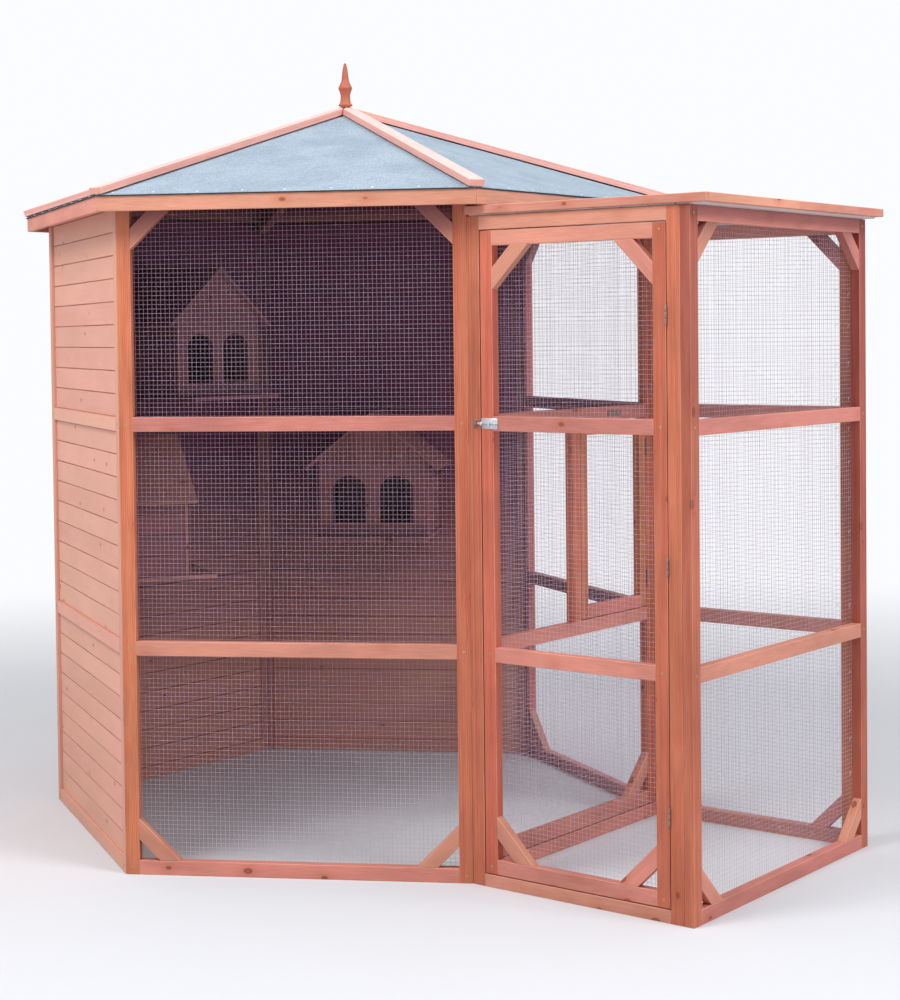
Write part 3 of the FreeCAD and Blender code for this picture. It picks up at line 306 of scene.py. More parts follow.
def new_group(name, kind, inputs, outputs):
    """A node group. An input is a number's default, or the sort of a socket without one."""
    tree = bpy.data.node_groups.new(name, kind)
    for label, given in inputs.items():
        sort = given if isinstance(given, str) else "Float"
        socket = tree.interface.new_socket(name=label, in_out="INPUT", socket_type="NodeSocket" + sort)
        if given is not sort:
            socket.default_value = given
    for label, sort in outputs.items():
        tree.interface.new_socket(name=label, in_out="OUTPUT", socket_type="NodeSocket" + sort)
    laid = Laid(tree)
    return laid, laid.add("NodeGroupInput").outputs, laid.add("NodeGroupOutput").inputs


def group_once(name, build):
    """The node group of that name, built the first time that it is asked for."""
    return bpy.data.node_groups.get(name) or build()


LOOK = {"Color": "Color", "Roughness": "Float", "Height": "Float"}

# The pine's knots: how many to the metre along the grain, across it and through the timber, the
# share of places without one, and the reach of a knot's parts in sizes of the knot.
KNOT_SPREAD = (8.5, 14.0, 14.0)
KNOTLESS = 0.2
KNOT_CORE = 0.72
KNOT_HALO = 3.4
KNOT_HEART = (0.35, 0.6)
KNOT_SIZE = 0.13

# The pine's growth rings, fibres, streaks and blotches, the same three ways.
RING_SWERVE = (0.0, 0.009, 0.007)
RING_STRETCH = (0.055, 1.0, 1.0)
RING_WOBBLE = {"Distortion": 3.2, "Detail": 2.0, "Detail Scale": 0.25}
RING_WIDTH_AT_SCALE_ONE = math.pi / 10
LATE_WOOD_POWER = 2.2
FIBRE_SCALE = (16.0, 620.0, 620.0)
STREAK_SCALE = (2.2, 70.0, 70.0)
BLOTCH_SCALE = (3.0, 9.0, 9.0)

# How far each of these changes the colour, and how fast brightness and hue go round with the tone.
LATE_WOOD_SHARE = 0.55
STREAK_SHARE = 0.5
PALE_SHARE = 0.78
HALO_SHARE = 0.4
# How far the painted shade darkens towards the deep shade colour.
DEEP_SHADE_SHARE = 0.5
BRIGHTNESS_ROUNDS = 11.7
HUE_ROUNDS = 7.31
HUE_SWING = 0.016
MIDDLE_HUE = 0.5


def pine_grain_group():
    """Growth rings, fibres, knots, uneven stain, tinted edges and painted shade of a planed pine timber.
    """
    laid, given, result = new_group("pine_grain", "ShaderNodeTree", {
        "Grain": "Vector", "Tone": 0.5, "Edge": 0.0, "Early Wood": "Color", "Late Wood": "Color",
        "Knot": "Color", "Pale Wood": "Color", "Worn": "Color", "Sheltered": "Color", "Gloom": "Color",
        "Shelter": 0.0, "Ring Scale": 60.0, "Knot Size": KNOT_SIZE, "Contrast": 1.0, "Variety": 1.0},
        LOOK)
    grain, tone, size, variety = (given[key] for key in ("Grain", "Tone", "Knot Size", "Variety"))

    def swung(pattern, darker, brighter):
        return laid.ramp(pattern, 0.3, 0.7, darker, brighter)

    chance, reach = laid.cells(laid.scaled(grain, KNOT_SPREAD), 1.0)
    present = laid.math("GREATER_THAN", chance, KNOTLESS)
    knot = laid.times(present, laid.ramp(reach, laid.times(size, KNOT_CORE), size, 1.0, 0.0))
    halo = laid.times(present, laid.ramp(reach, 0.0, laid.times(size, KNOT_HALO), 1.0, 0.0))
    swerve = laid.scaled(laid.add("ShaderNodeCombineXYZ", {1: halo, 2: halo}), RING_SWERVE)
    rings = laid.add("ShaderNodeTexWave", {
        "Vector": laid.scaled(laid.moved(grain, swerve), RING_STRETCH), "Scale": given["Ring Scale"],
        **RING_WOBBLE}, wave_type="RINGS", rings_direction="X", wave_profile="SAW").outputs["Fac"]
    late = laid.math("POWER", rings, LATE_WOOD_POWER)
    fibre = laid.noise(laid.scaled(grain, FIBRE_SCALE), 1.0, 3.0)
    streak = laid.noise(laid.scaled(grain, STREAK_SCALE), 1.0, 2.0)
    blotch = laid.noise(laid.scaled(grain, BLOTCH_SCALE), 1.0, 3.0, 0.6)

    share = laid.times(given["Contrast"], laid.plus(
        laid.times(late, LATE_WOOD_SHARE), laid.ramp(streak, 0.35, 0.75, 0.0, STREAK_SHARE)))
    wood = laid.mix(share, given["Early Wood"], given["Late Wood"])
    wood = laid.mix(laid.ramp(tone, 0.45, 0.6, 0.0, PALE_SHARE), wood, given["Pale Wood"])
    lot = laid.math("FRACT", laid.times(tone, BRIGHTNESS_ROUNDS))
    lot = laid.ramp(lot, 0.0, 1.0, -0.1, 0.08, "LINEAR")
    uneven = laid.plus(laid.plus(lot, swung(blotch, -0.1, 0.08)), swung(fibre, -0.07, 0.06))
    bright = laid.math("MULTIPLY_ADD", uneven, variety, 1.0)
    swing = laid.math("SUBTRACT", laid.math("FRACT", laid.times(tone, HUE_ROUNDS)), 0.5)
    hue = laid.math("MULTIPLY_ADD", laid.times(swing, HUE_SWING), variety, MIDDLE_HUE)
    wood = laid.add("ShaderNodeHueSaturation", {"Hue": hue, "Value": bright, "Color": wood}).outputs[0]

    wood = laid.mix(laid.times(halo, HALO_SHARE), wood, given["Late Wood"])
    near, far = (laid.times(size, part) for part in KNOT_HEART)
    heart = laid.mix(laid.ramp(reach, near, far, 0.45, 0.0), given["Knot"], given["Late Wood"])
    wood = laid.mix(laid.times(knot, laid.ramp(fibre, 0.2, 0.8, 0.62, 0.88)), wood, heart)
    # Edges take the Edge Tint: rubbed wear on frames, and gathered stain with painted groove shade on
    # boards and nest boxes.
    edge_tint_share = laid.times(given["Edge"], laid.ramp(blotch, 0.38, 0.62, 0.3, 0.85))
    wood = laid.mix(edge_tint_share, wood, given["Worn"])
    # Painted shade: the wood tinted and darkened, as far as each point's painted shade value.
    dim = laid.mix(DEEP_SHADE_SHARE, laid.mix(1.0, wood, given["Sheltered"], "MULTIPLY"), given["Gloom"])
    laid.feed(result["Color"], laid.mix(given["Shelter"], wood, dim))

    rough = laid.plus(laid.ramp(fibre, 0.2, 0.8, 0.5, 0.68), laid.times(late, -0.08))
    laid.feed(result["Roughness"], rough)
    height = laid.plus(laid.times(fibre, 0.5), laid.times(late, 0.35))
    laid.feed(result["Height"], laid.plus(height, laid.times(knot, 0.6)))
    return laid.tree


PALE_GRIT = (0.6, 0.64, 0.66, 1.0)


def mineral_felt_group():
    """Mineral grit over mottled felt."""
    laid, given, result = new_group("mineral_felt", "ShaderNodeTree", {
        "Place": "Vector", "Felt": "Color", "Grit": "Color", "Cut Edge": "Color", "Edge": 0.0,
        "Grit Scale": 620.0}, LOOK)
    place = given["Place"]
    speck, _ = laid.cells(place, given["Grit Scale"])
    clump = laid.noise(place, 85.0, 4.0, 0.7)
    mottle = laid.noise(place, 6.5, 4.0, 0.6)
    dark = laid.times(laid.ramp(speck, 0.45, 0.95, 0.0, 0.85), laid.ramp(clump, 0.3, 0.7, 0.4, 1.0))
    colour = laid.mix(dark, given["Felt"], given["Grit"])
    colour = laid.mix(laid.ramp(speck, 0.12, 0.02, 0.0, 0.5), colour, PALE_GRIT)
    colour = laid.mix(laid.ramp(mottle, 0.3, 0.72, 0.0, 0.3), colour, given["Grit"])
    laid.feed(result["Color"], laid.mix(given["Edge"], colour, given["Cut Edge"]))
    laid.feed(result["Roughness"], laid.ramp(speck, 0.0, 1.0, 0.78, 0.95, "LINEAR"))
    laid.feed(result["Height"], laid.plus(speck, laid.times(clump, 1.2)))
    return laid.tree


def zinc_spangle_group():
    """Crystals and dull patches of galvanised or plated steel."""
    laid, given, result = new_group("zinc_spangle", "ShaderNodeTree", {
        "Place": "Vector", "Zinc": "Color", "Spangle Scale": 260.0, "Dullness": 0.32}, LOOK)
    place = given["Place"]
    facet, _ = laid.cells(place, given["Spangle Scale"])
    smear = laid.noise(place, 48.0, 3.0, 0.6)
    shade = laid.times(laid.ramp(facet, 0.0, 1.0, 0.84, 1.05, "LINEAR"),
                       laid.ramp(smear, 0.3, 0.7, 0.86, 1.04))
    tint = laid.add("ShaderNodeCombineColor", {0: shade, 1: shade, 2: shade}).outputs[0]
    laid.feed(result["Color"], laid.mix(1.0, given["Zinc"], tint, "MULTIPLY"))
    rough = laid.plus(given["Dullness"], laid.times(laid.ramp(smear, 0.3, 0.75), 0.2))
    laid.feed(result["Roughness"], rough)
    laid.feed(result["Height"], laid.plus(facet, smear))
    return laid.tree


# The colour of every material where its nodes aren't read
PLAIN_TONE = (0.7, 0.5, 0.4, 1.0)


def finish_material(name, group_tree, inputs, bump, metallic=0.0, specular=0.5):
    """A material whose colour, roughness and bump come from one group."""
    material = bpy.data.materials.new(name)
    material.use_nodes = True
    material.node_tree.nodes.clear()
    laid = Laid(material.node_tree)
    settings = {key: value(laid) if callable(value) else value for key, value in inputs.items()}
    look = laid.add("ShaderNodeGroup", node_tree=group_tree)
    for key, value in settings.items():
        laid.feed(look.inputs[key], value)
    strength, distance = bump
    relief = laid.add("ShaderNodeBump", {"Strength": strength, "Distance": distance,
                                         "Height": look.outputs["Height"]})
    shader = laid.add("ShaderNodeBsdfPrincipled", {
        "Base Color": look.outputs["Color"], "Roughness": look.outputs["Roughness"],
        "Metallic": metallic, "Specular IOR Level": specular, "Normal": relief.outputs[0]})
    laid.add("ShaderNodeOutputMaterial", {"Surface": shader.outputs[0]})
    material.diffuse_color = PLAIN_TONE
    return material


def attribute(name, output="Fac"):
    """One of the values that the points of a piece carry."""
    return lambda laid: laid.add("ShaderNodeAttribute", attribute_name=name).outputs[output]


def object_place(laid):
    """The place on a piece, in the object's own frame."""
    return laid.add("ShaderNodeTexCoord").outputs["Object"]


def painted_top_light(laid):
    """Painted top light: a tone that is low on upright faces and high on those that face up."""
    normal = laid.add("ShaderNodeNewGeometry").outputs["Normal"]
    return laid.ramp(laid.add("ShaderNodeSeparateXYZ", {0: normal}).outputs["Z"], 0.35, 0.85, 0.3, 0.98)


def dimmed(shade, share):
    """A colour of which a share stays."""
    return (shade[0] * share, shade[1] * share, shade[2] * share, 1.0)


# Each pine: its early, late and pale wood and its edges, with the share of a colour that stays
# where that isn't all of it, and then what else sets it apart.
PINES = {
    "stained_frame_pine": (("frame_stain", "frame_late", "frame_pale", "worn"), {},
                           {"Contrast": 1.15, "Variety": 1.35}),
    # The edges of the boards and the nest boxes darken to gathered stain and painted groove shade.
    "stained_board_pine": (("board_stain", "board_late", "board_stain", "board_joint_stain_and_shade"), {},
                           {"Contrast": 0.8, "Variety": 0.5, "Knot Size": 0.075}),
    # The battens take their top colour as a painted highlight where they face up.
    "stained_batten_pine": (("hip_stain", "hip_late", "batten_top_highlight", "worn"), {},
                            {"Contrast": 0.7, "Knot Size": 0.07, "Tone": painted_top_light}),
    # A frame pine dimmed as painted shade for the roof's underside; the finial wears it too.
    "stained_inside_pine": (("frame_stain", "frame_late", "frame_pale", "worn"),
                            {"Early Wood": 0.75, "Late Wood": 0.75, "Pale Wood": 0.75}, {}),
    "washed_deck_pine": (("deck_stain", "deck_stain", "deck_stain", "worn"), {"Late Wood": 0.8},
                         {"Contrast": 0.6, "Knot Size": 0.06}),
    "stained_nest_pine": (("board_stain", "frame_stain", "board_stain", "board_joint_stain_and_shade"), {},
                          {"Contrast": 0.9, "Variety": 0.8}),
}

# Each metal: the settings that hold its colour, the colour's name, what else sets it apart, its bump
# and how metallic it is. A bump is its strength and its depth in metres.
METALS = {
    "zinc_plate": ("aviary_fittings", "zinc", {}, (0.2, 0.0002), 0.55),
    "dull_steel": ("aviary_fittings", "steel", {"Dullness": 0.5}, (0.3, 0.0003), 0.25),
    "passivated_screw": ("aviary_fittings", "screw", {"Dullness": 0.4}, (0.2, 0.0002), 0.8),
    "galvanised_wire": ("aviary_mesh", "shade", {"Spangle Scale": 90.0, "Dullness": 0.4},
                        (0.1, 0.0001), 0.05),
}
PINE_BUMP = (0.45, 0.0008)
FELT_BUMP = (0.5, 0.0012)


def pine(name):
    """The pine of that name, made the first time that it is asked for."""
    if name in bpy.data.materials:
        return bpy.data.materials[name]
    timber = bpy.context.scene.aviary_timber
    woods, kept, apart = PINES[name]
    colours = dict(zip(("Early Wood", "Late Wood", "Pale Wood", "Worn"), woods))
    colours.update({"Knot": "knot", "Sheltered": "sheltered", "Gloom": "gloom"})
    inputs = {key: dimmed(getattr(timber, shade), kept.get(key, 1.0)) for key, shade in colours.items()}
    inputs.update({"Grain": attribute("grain", "Vector"), "Tone": attribute("tone"),
                   "Edge": attribute("edge"), "Shelter": attribute("shelter"),
                   "Ring Scale": RING_WIDTH_AT_SCALE_ONE / timber.ring_width})
    tree = group_once("pine_grain", pine_grain_group)
    return finish_material(name, tree, {**inputs, **apart}, PINE_BUMP, specular=0.35)


def metal(name):
    """The metal of that name, made the first time that it is asked for."""
    if name in bpy.data.materials:
        return bpy.data.materials[name]
    settings, shade, apart, bump, metallic = METALS[name]
    colour = getattr(getattr(bpy.context.scene, settings), shade)
    tree = group_once("zinc_spangle", zinc_spangle_group)
    return finish_material(name, tree, {"Place": object_place, "Zinc": colour, **apart}, bump, metallic)


def felt():
    """The roofing felt, made the first time that it is asked for."""
    name = "mineral_felt_finish"
    if name in bpy.data.materials:
        return bpy.data.materials[name]
    roof = bpy.context.scene.aviary_roof
    inputs = {"Place": object_place, "Felt": roof.felt, "Grit": roof.felt_dark,
              "Cut Edge": roof.felt_edge, "Edge": attribute("edge")}
    tree = group_once("mineral_felt", mineral_felt_group)
    return finish_material(name, tree, inputs, FELT_BUMP, specular=0.25)


# Meshes.
def shells_of(node):
    """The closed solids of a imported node: each one's corners and triangles, doubles merged."""
    mesh = frame["nodes"][node].data
    shells = []
    corners, index, faces, open_edges = [], {}, [], set()
    for polygon in mesh.polygons:
        face = []
        for number in polygon.vertices:
            spot = mesh.vertices[number].co
            key = tuple(round(part / WELD_STEP) for part in spot)
            if key not in index:
                index[key] = len(corners)
                corners.append(spot.copy())
            face.append(index[key])
        if len(set(face)) < 3:
            continue
        faces.append(face)
        for k in range(3):
            open_edges ^= {frozenset((face[k], face[k - 1]))}
        if not open_edges:
            shells.append((corners, faces))
            corners, index, faces = [], {}, []
    if faces:
        raise RuntimeError("%s has a solid that isn't closed" % node)
    return shells


def solid_mesh(corners, faces):
    """A solid as an editable mesh, its level triangles joined into whole faces."""
    solid = bmesh.new()
    points = [solid.verts.new(corner) for corner in corners]
    for face in faces:
        solid.faces.new([points[number] for number in face])
    solid.normal_update()
    bmesh.ops.dissolve_limit(solid, angle_limit=FLAT_ANGLE, verts=solid.verts, edges=solid.edges)
    return solid


def plain_mesh(name, made):
    """Turns an editable mesh into a plain one, and frees it."""
    mesh = bpy.data.meshes.new(name)
    made.to_mesh(mesh)
    made.free()
    return mesh


def circle(made, radius, height, sides, middle=Vector()):
    """A level ring of points, against the clock."""
    angles = [math.tau * k / sides for k in range(sides)]
    return [made.verts.new((middle.x + radius * math.cos(angle), middle.y + radius * math.sin(angle),
                            height)) for angle in angles]


def bridge(made, first, second, closed=True):
    """Faces from one row of points to the next, all the way round where the rows are closed."""
    for k in range(0 if closed else 1, len(first)):
        made.faces.new((first[k - 1], first[k], second[k], second[k - 1]))


def skin(made, rings):
    """Faces along a row of rings, with both ends closed."""
    for first, second in zip(rings, rings[1:]):
        bridge(made, first, second)
    made.faces.new(rings[0][::-1])
    made.faces.new(rings[-1])


def largest(faces):
    """The face with the greatest area."""
    return max(faces, key=lambda face: face.calc_area())


def longest_way(solid):
    """The direction of a solid's longest edge."""
    edge = max(solid.edges, key=lambda edge: edge.calc_length())
    return edge.verts[1].co - edge.verts[0].co


def level_way(solid):
    """The level direction in a sloping sheet."""
    return UP.cross(largest(solid.faces).normal).normalized()


def grain_axes(solid, along=None):
    """Axes of a timber: along its grain, across it and through its thickness."""
    through = largest(solid.faces).normal.copy()
    if along is None:
        along = longest_way(solid)
    along = (along - through * along.dot(through)).normalized()
    return Matrix((along, through.cross(along), through))


def soften(solid, width, segments=2):
    """Rounds the sharp edges and gives back the points on their ridges."""
    sharp = [edge for edge in solid.edges
             if len(edge.link_faces) == 2 and edge.calc_face_angle(0) > SHARP_ANGLE]
    made = bmesh.ops.bevel(solid, geom=sharp, offset=width, offset_type="OFFSET", segments=segments,
                           profile=0.5, affect="EDGES", clamp_overlap=True)
    rounded = set(made["faces"])
    for face in solid.faces:
        face.smooth = face in rounded
    return {point for point in solid.verts if all(face in rounded for face in point.link_faces)}


# Where a timber is cut from its tree: along the grain, then away from the heart across it and
# through it. Upright timbers have tones below the middle, and level ones above it.
CUT_ALONG = (0, 40)
CUT_ACROSS = (0.012, 0.06)
CUT_THROUGH = (0.008, 0.045)
TONE_RANGE = 0.45
LEVEL_TONES_FROM = 0.55


class Pile:
    """Collects the points, faces and surface values of one piece."""

    def __init__(self):
        self.points = []
        self.faces = []
        self.smooth = []
        self.grain = []
        self.tone = []
        self.edge = []
        self.shelter = []

    def add(self, solid, axes=None, seed="", ridges=(), shelter=None, smooth=False):
        """Takes over a solid, as a timber with its own grain, and frees it."""
        chance = random.Random(seed)
        first = len(self.points)
        middle = sum((v.co for v in solid.verts), Vector()) / len(solid.verts)
        sides = (chance.choice((-1, 1)), chance.choice((-1, 1)))
        shift = Vector((chance.uniform(*CUT_ALONG), sides[0] * chance.uniform(*CUT_ACROSS),
                        sides[1] * chance.uniform(*CUT_THROUGH)))
        tone = chance.random() * TONE_RANGE
        if axes and abs(axes[0].z) < UPRIGHT_FROM:
            tone += LEVEL_TONES_FROM
        solid.verts.index_update()
        for point in solid.verts:
            self.points.append(point.co[:])
            self.grain.extend((axes or Matrix.Identity(3)) @ (point.co - middle) + shift)
            self.tone.append(tone)
            self.edge.append(1.0 if point in ridges else 0.0)
            self.shelter.append(shelter(point.co) if shelter else 0.0)
        for face in solid.faces:
            self.faces.append([first + v.index for v in face.verts])
            self.smooth.append(smooth or face.smooth)
        solid.free()

    def mesh(self, name):
        mesh = bpy.data.meshes.new(name)
        mesh.from_pydata(self.points, [], self.faces)
        mesh.polygons.foreach_set("use_smooth", self.smooth)
        values = (("grain", "FLOAT_VECTOR", "vector", self.grain), ("tone", "FLOAT", "value", self.tone),
                  ("edge", "FLOAT", "value", self.edge), ("shelter", "FLOAT", "value", self.shelter))
        for label, kind, field, numbers in values:
            mesh.attributes.new(label, kind, "POINT").data.foreach_set(field, numbers)
        mesh.update()
        return mesh


def show(name, mesh, material, body, replaced=()):
    """Makes a piece of the object from a mesh that is already in place."""
    piece = bpy.data.objects.new(name, mesh)
    bpy.context.scene.collection.objects.link(piece)
    if not mesh.materials:
        mesh.materials.append(material)
    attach(piece, body)
    if replaced:
        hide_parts(*replaced)
    return piece


def body_of(node):
    return frame["nodes"][node]["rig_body"]


def extent_in(wall, corners):
    """The lowest and the highest corner of a solid, in its wall's own frame."""
    inside = [WALLS[wall].inverted() @ corner for corner in corners]
    return [Vector([pick(spot[k] for spot in inside) for k in range(3)]) for pick in (min, max)]


# How much shade is painted inside: least below a height, and all of it from a rise above it.
LEAST_DIM = 0.25
DIM_FROM, DIM_RISE = 0.3, 0.8

# How far in from the outer face boards and frames start to get painted shade, and how soon they get all
# of it.
BOARDS_DIM_FROM, FRAMES_DIM_FROM = 0.018, 0.024
DIM_FADE = 0.004
# The painted shade under the eaves, and the least painted shade within a nest box.
UNDER_EAVES, WITHIN_NEST = 0.35, 0.8


def limited(share):
    """A share kept between nothing and all."""
    return min(1.0, max(0.0, share))


def shade_painted_in(wall, start=BOARDS_DIM_FROM, share=1.0):
    """How much shade is painted on a point of a wall, from its distance in from the outer face and its
    height.
    """
    to_wall = WALLS[wall].inverted()

    def shelter(point):
        dim = LEAST_DIM + (1 - LEAST_DIM) * limited((point.z - DIM_FROM) / DIM_RISE)
        return share * dim * limited(((to_wall @ point).y - start) / DIM_FADE)

    return shelter


def shade_painted_under_eaves(under, reach, share):
    """How much shade is painted on a point under the eaves above it."""
    return lambda point: share * limited((point.z - under + reach) / reach)


def shade_painted_under_roof(point):
    """Painted shade, full inside the walls and half under the eaves."""
    away = math.hypot(point.x - HEXAGON_MIDDLE.x, point.y - HEXAGON_MIDDLE.y)
    return 1.0 if away < APOTHEM else UNDER_EAVES


def shade_painted_in_nest(side, dim):
    """Painted shade: dim outside a nest box, and darker within it."""
    to_wall = WALLS[side].inverted()
    front = (to_wall @ middle_of(side + "_nest_front")).y - DIM_FADE
    return lambda point: dim if (to_wall @ point).y > front else max(dim, WITHIN_NEST)


# The widest joint between two wall boards, how far a tongue reaches from its middle, upright and
# through the boards, and the joint between two roof boards.
WIDEST_JOINT = 0.002
TONGUE_REACH, TONGUE_THIN = 0.004, 0.0022
KERF = 0.0008


def tongues(wall, solids):
    """The tongues that close the joints between a wall's boards, hidden in their thickness."""
    extents = [extent_in(wall, corners) for corners, _ in solids]
    made = []
    for low, high in extents:
        if not any(0 < low.z - below.z < WIDEST_JOINT for _, below in extents):
            continue
        tongue = bmesh.new()
        bmesh.ops.create_cube(tongue, size=2.0)
        for point in tongue.verts:
            point.co = WALLS[wall] @ Vector((
                low.x if point.co.x < 0 else high.x, (low.y + high.y) / 2 + TONGUE_THIN * point.co.y,
                low.z + TONGUE_REACH * point.co.z))
        made.append(tongue)
    return made


def sawn(solid, width):
    """Saws a sloping sheet into level boards of like width, with a narrow open joint between them."""
    across = largest(solid.faces).normal.cross(level_way(solid)).normalized()
    spans = [point.co.dot(across) for point in solid.verts]
    low, high = min(spans), max(spans)
    count = max(1, round((high - low) / width))
    step = (high - low) / count
    boards = []
    for k in range(count):
        board = solid.copy()
        ends = ((low + step * k + (KERF / 2 if k else -KERF), -1),
                (low + step * (k + 1) - (KERF / 2 if k < count - 1 else -KERF), 1))
        for at, side in ends:
            geometry = board.verts[:] + board.edges[:] + board.faces[:]
            bmesh.ops.bisect_plane(board, geom=geometry, plane_co=across * at, plane_no=across * side,
                                   clear_outer=True)
            edges = [edge for edge in board.edges if len(edge.link_faces) == 1]
            if edges:
                bmesh.ops.holes_fill(board, edges=edges)
        bmesh.ops.recalc_face_normals(board, faces=board.faces)
        boards.append(board)
    solid.free()
    return boards


def dress(node, material, arris, along=None, board=None, shelter=None, wall=None):
    """Planes a node's timbers: rounded edges, and a grain of its own for each."""
    pile = Pile()
    solids = shells_of(node)
    for number, (corners, faces) in enumerate(solids):
        solid = solid_mesh(corners, faces)
        axes = grain_axes(solid, along(solid) if along else None)
        for k, part in enumerate(sawn(solid, board) if board else [solid]):
            ridges = soften(part, arris)
            pile.add(part, axes, "%s %d %d" % (node, number, k), ridges, shelter)
    for number, tongue in enumerate(tongues(wall, solids) if wall else ()):
        pile.add(tongue, grain_axes(tongue), "%s tongue %d" % (node, number), tongue.verts[:], shelter)
    name = node + "_dressed"
    return show(name, pile.mesh(name), material, body_of(node), [node])


# Geometry Nodes.
def set_inputs(modifier, values):
    """Sets a modifier's inputs by their sockets' identifiers."""
    for item in modifier.node_group.interface.items_tree:
        if item.in_out == "INPUT" and item.name in values:
            modifier[item.identifier] = values[item.name]


def grown(tree, values, base=None):
    """The plain mesh that a tree grows from a base mesh and its inputs."""
    holder = bpy.data.objects.new("grower", base or bpy.data.meshes.new("grower"))
    bpy.context.scene.collection.objects.link(holder)
    modifier = holder.modifiers.new(tree.name, "NODES")
    modifier.node_group = tree
    set_inputs(modifier, values)
    view = bpy.context.evaluated_depsgraph_get()
    mesh = bpy.data.meshes.new_from_object(holder.evaluated_get(view))
    holder.modifiers.clear()
    bpy.data.objects.remove(holder)
    return mesh


def wire_run(laid, given, upright):
    """The upright or the level wires of a net, straight and side by side."""
    run, reach = ("Width", "Height") if upright else ("Height", "Width")
    across, along = (0, 2) if upright else (2, 0)
    pitch = given["Pitch"]
    count = laid.math("FLOOR", laid.math("DIVIDE", given[run], pitch))
    spare = laid.times(0.5, laid.math("SUBTRACT", given[run], laid.times(count, pitch)))
    behind = laid.times(given["Wire"], -0.5 if upright else 0.5)
    line = laid.add("GeometryNodeMeshLine", {
        "Count": laid.plus(count, 1.0),
        "Start Location": laid.add("ShaderNodeCombineXYZ", {across: spare, 1: behind}),
        "Offset": laid.add("ShaderNodeCombineXYZ", {across: pitch})}, mode="OFFSET")
    wire = laid.add("GeometryNodeCurvePrimitiveLine", {
        "End": laid.add("ShaderNodeCombineXYZ", {along: given[reach]})})
    divided = laid.add("GeometryNodeResampleCurve", {"Curve": wire, "Length": given["Division"]},
                       mode="LENGTH")
    placed = laid.add("GeometryNodeInstanceOnPoints", {"Points": line, "Instance": divided})
    return laid.add("GeometryNodeRealizeInstances", {"Geometry": placed})


def end_tree(laid, given, result, geometry):
    """Ends a tree with real faces of its material."""
    real = laid.add("GeometryNodeRealizeInstances", {"Geometry": geometry})
    finished = laid.add("GeometryNodeSetMaterial", {"Geometry": real, "Material": given["Material"]})
    laid.feed(result["Geometry"], finished)
    return laid.tree


# How a wire strays, and its sides and radius as shares of its thickness.
STRAY_SCALE = 7.0
STRAY_IN_NET = 4.0
WIRE_SIDES = 4
WIRE_RADIUS = 0.56


def welded_net_tree():
    """Welded mesh: upright wires before level ones, all strayed together."""
    laid, given, result = new_group("welded_net", "GeometryNodeTree", {
        "Width": 1.0, "Height": 1.0, "Pitch": 0.0127, "Wire": 0.001, "Wave": 0.001, "Division": 0.04,
        "Seed": 0.0, "Material": "Material"}, {"Geometry": "Geometry"})
    wires = laid.add("GeometryNodeJoinGeometry")
    for upright in (True, False):
        laid.feed(wires.inputs[0], wire_run(laid, given, upright))
    stray = laid.add("ShaderNodeTexNoise", {
        "Vector": laid.add("GeometryNodeInputPosition"), "W": given["Seed"], "Scale": STRAY_SCALE,
        "Detail": 1.0}, noise_dimensions="4D")
    centred = laid.moved(stray.outputs["Color"], (-0.5, -0.5, -0.5))
    wide = laid.times(given["Wave"], STRAY_IN_NET)
    swing = laid.scaled(centred, laid.add("ShaderNodeCombineXYZ", {0: wide, 1: given["Wave"], 2: wide}))
    bent = laid.add("GeometryNodeSetPosition", {"Geometry": wires, "Offset": swing})
    profile = laid.add("GeometryNodeCurvePrimitiveCircle", {
        "Resolution": WIRE_SIDES, "Radius": laid.times(given["Wire"], WIRE_RADIUS)})
    drawn = laid.add("GeometryNodeCurveToMesh", {
        "Curve": bent, "Profile Curve": profile.outputs[0], "Fill Caps": True})
    return end_tree(laid, given, result, drawn)


def repeat_tree():
    """A small part repeated on points, turned to their facing and about it."""
    laid, given, result = new_group("repeat_at_points", "GeometryNodeTree", {
        "Points": "Geometry", "Part": "Object", "Size": 1.0, "Material": "Material"},
        {"Geometry": "Geometry"})
    facing = laid.add("GeometryNodeInputNamedAttribute", {"Name": "facing"}, data_type="FLOAT_VECTOR")
    turn = laid.add("GeometryNodeInputNamedAttribute", {"Name": "turn"}, data_type="FLOAT")
    upright = laid.add("FunctionNodeAlignRotationToVector", {"Vector": facing.outputs["Attribute"]},
                       axis="Z")
    spin = laid.add("FunctionNodeAxisAngleToRotation", {
        "Axis": (0, 0, 1), "Angle": turn.outputs["Attribute"]})
    turned = laid.add("FunctionNodeRotateRotation", {
        "Rotation": upright.outputs[0], "Rotate By": spin.outputs[0]}, rotation_space="LOCAL")
    part = laid.add("GeometryNodeObjectInfo", {"Object": given["Part"]})
    size = laid.add("ShaderNodeCombineXYZ", {axis: given["Size"] for axis in range(3)})
    placed = laid.add("GeometryNodeInstanceOnPoints", {
        "Points": given["Points"], "Instance": part.outputs["Geometry"], "Rotation": turned.outputs[0],
        "Scale": size})
    return end_tree(laid, given, result, placed)


def repeated(name, part, spots, size, material, body, replaced=()):
    """One piece of many small parts; a spot is its place, its facing and its turn about it."""
    points = bpy.data.meshes.new("spots")
    points.from_pydata([tuple(place) for place, _, _ in spots], [], [])
    facings = points.attributes.new("facing", "FLOAT_VECTOR", "POINT")
    facings.data.foreach_set("vector", [value for _, facing, _ in spots for value in facing])
    turns = points.attributes.new("turn", "FLOAT", "POINT")
    turns.data.foreach_set("value", [turn for _, _, turn in spots])
    pattern = bpy.data.objects.new("pattern", part)
    bpy.context.scene.collection.objects.link(pattern)
    mesh = grown(group_once("repeat_at_points", repeat_tree),
                 {"Part": pattern, "Size": size, "Material": material}, points)
    bpy.data.objects.remove(pattern)
    return show(name, mesh, material, body, replaced)


# Pieces.
PORCH_FELT_SEED, ROOF_FELT_SEED = 61.0, 7.0

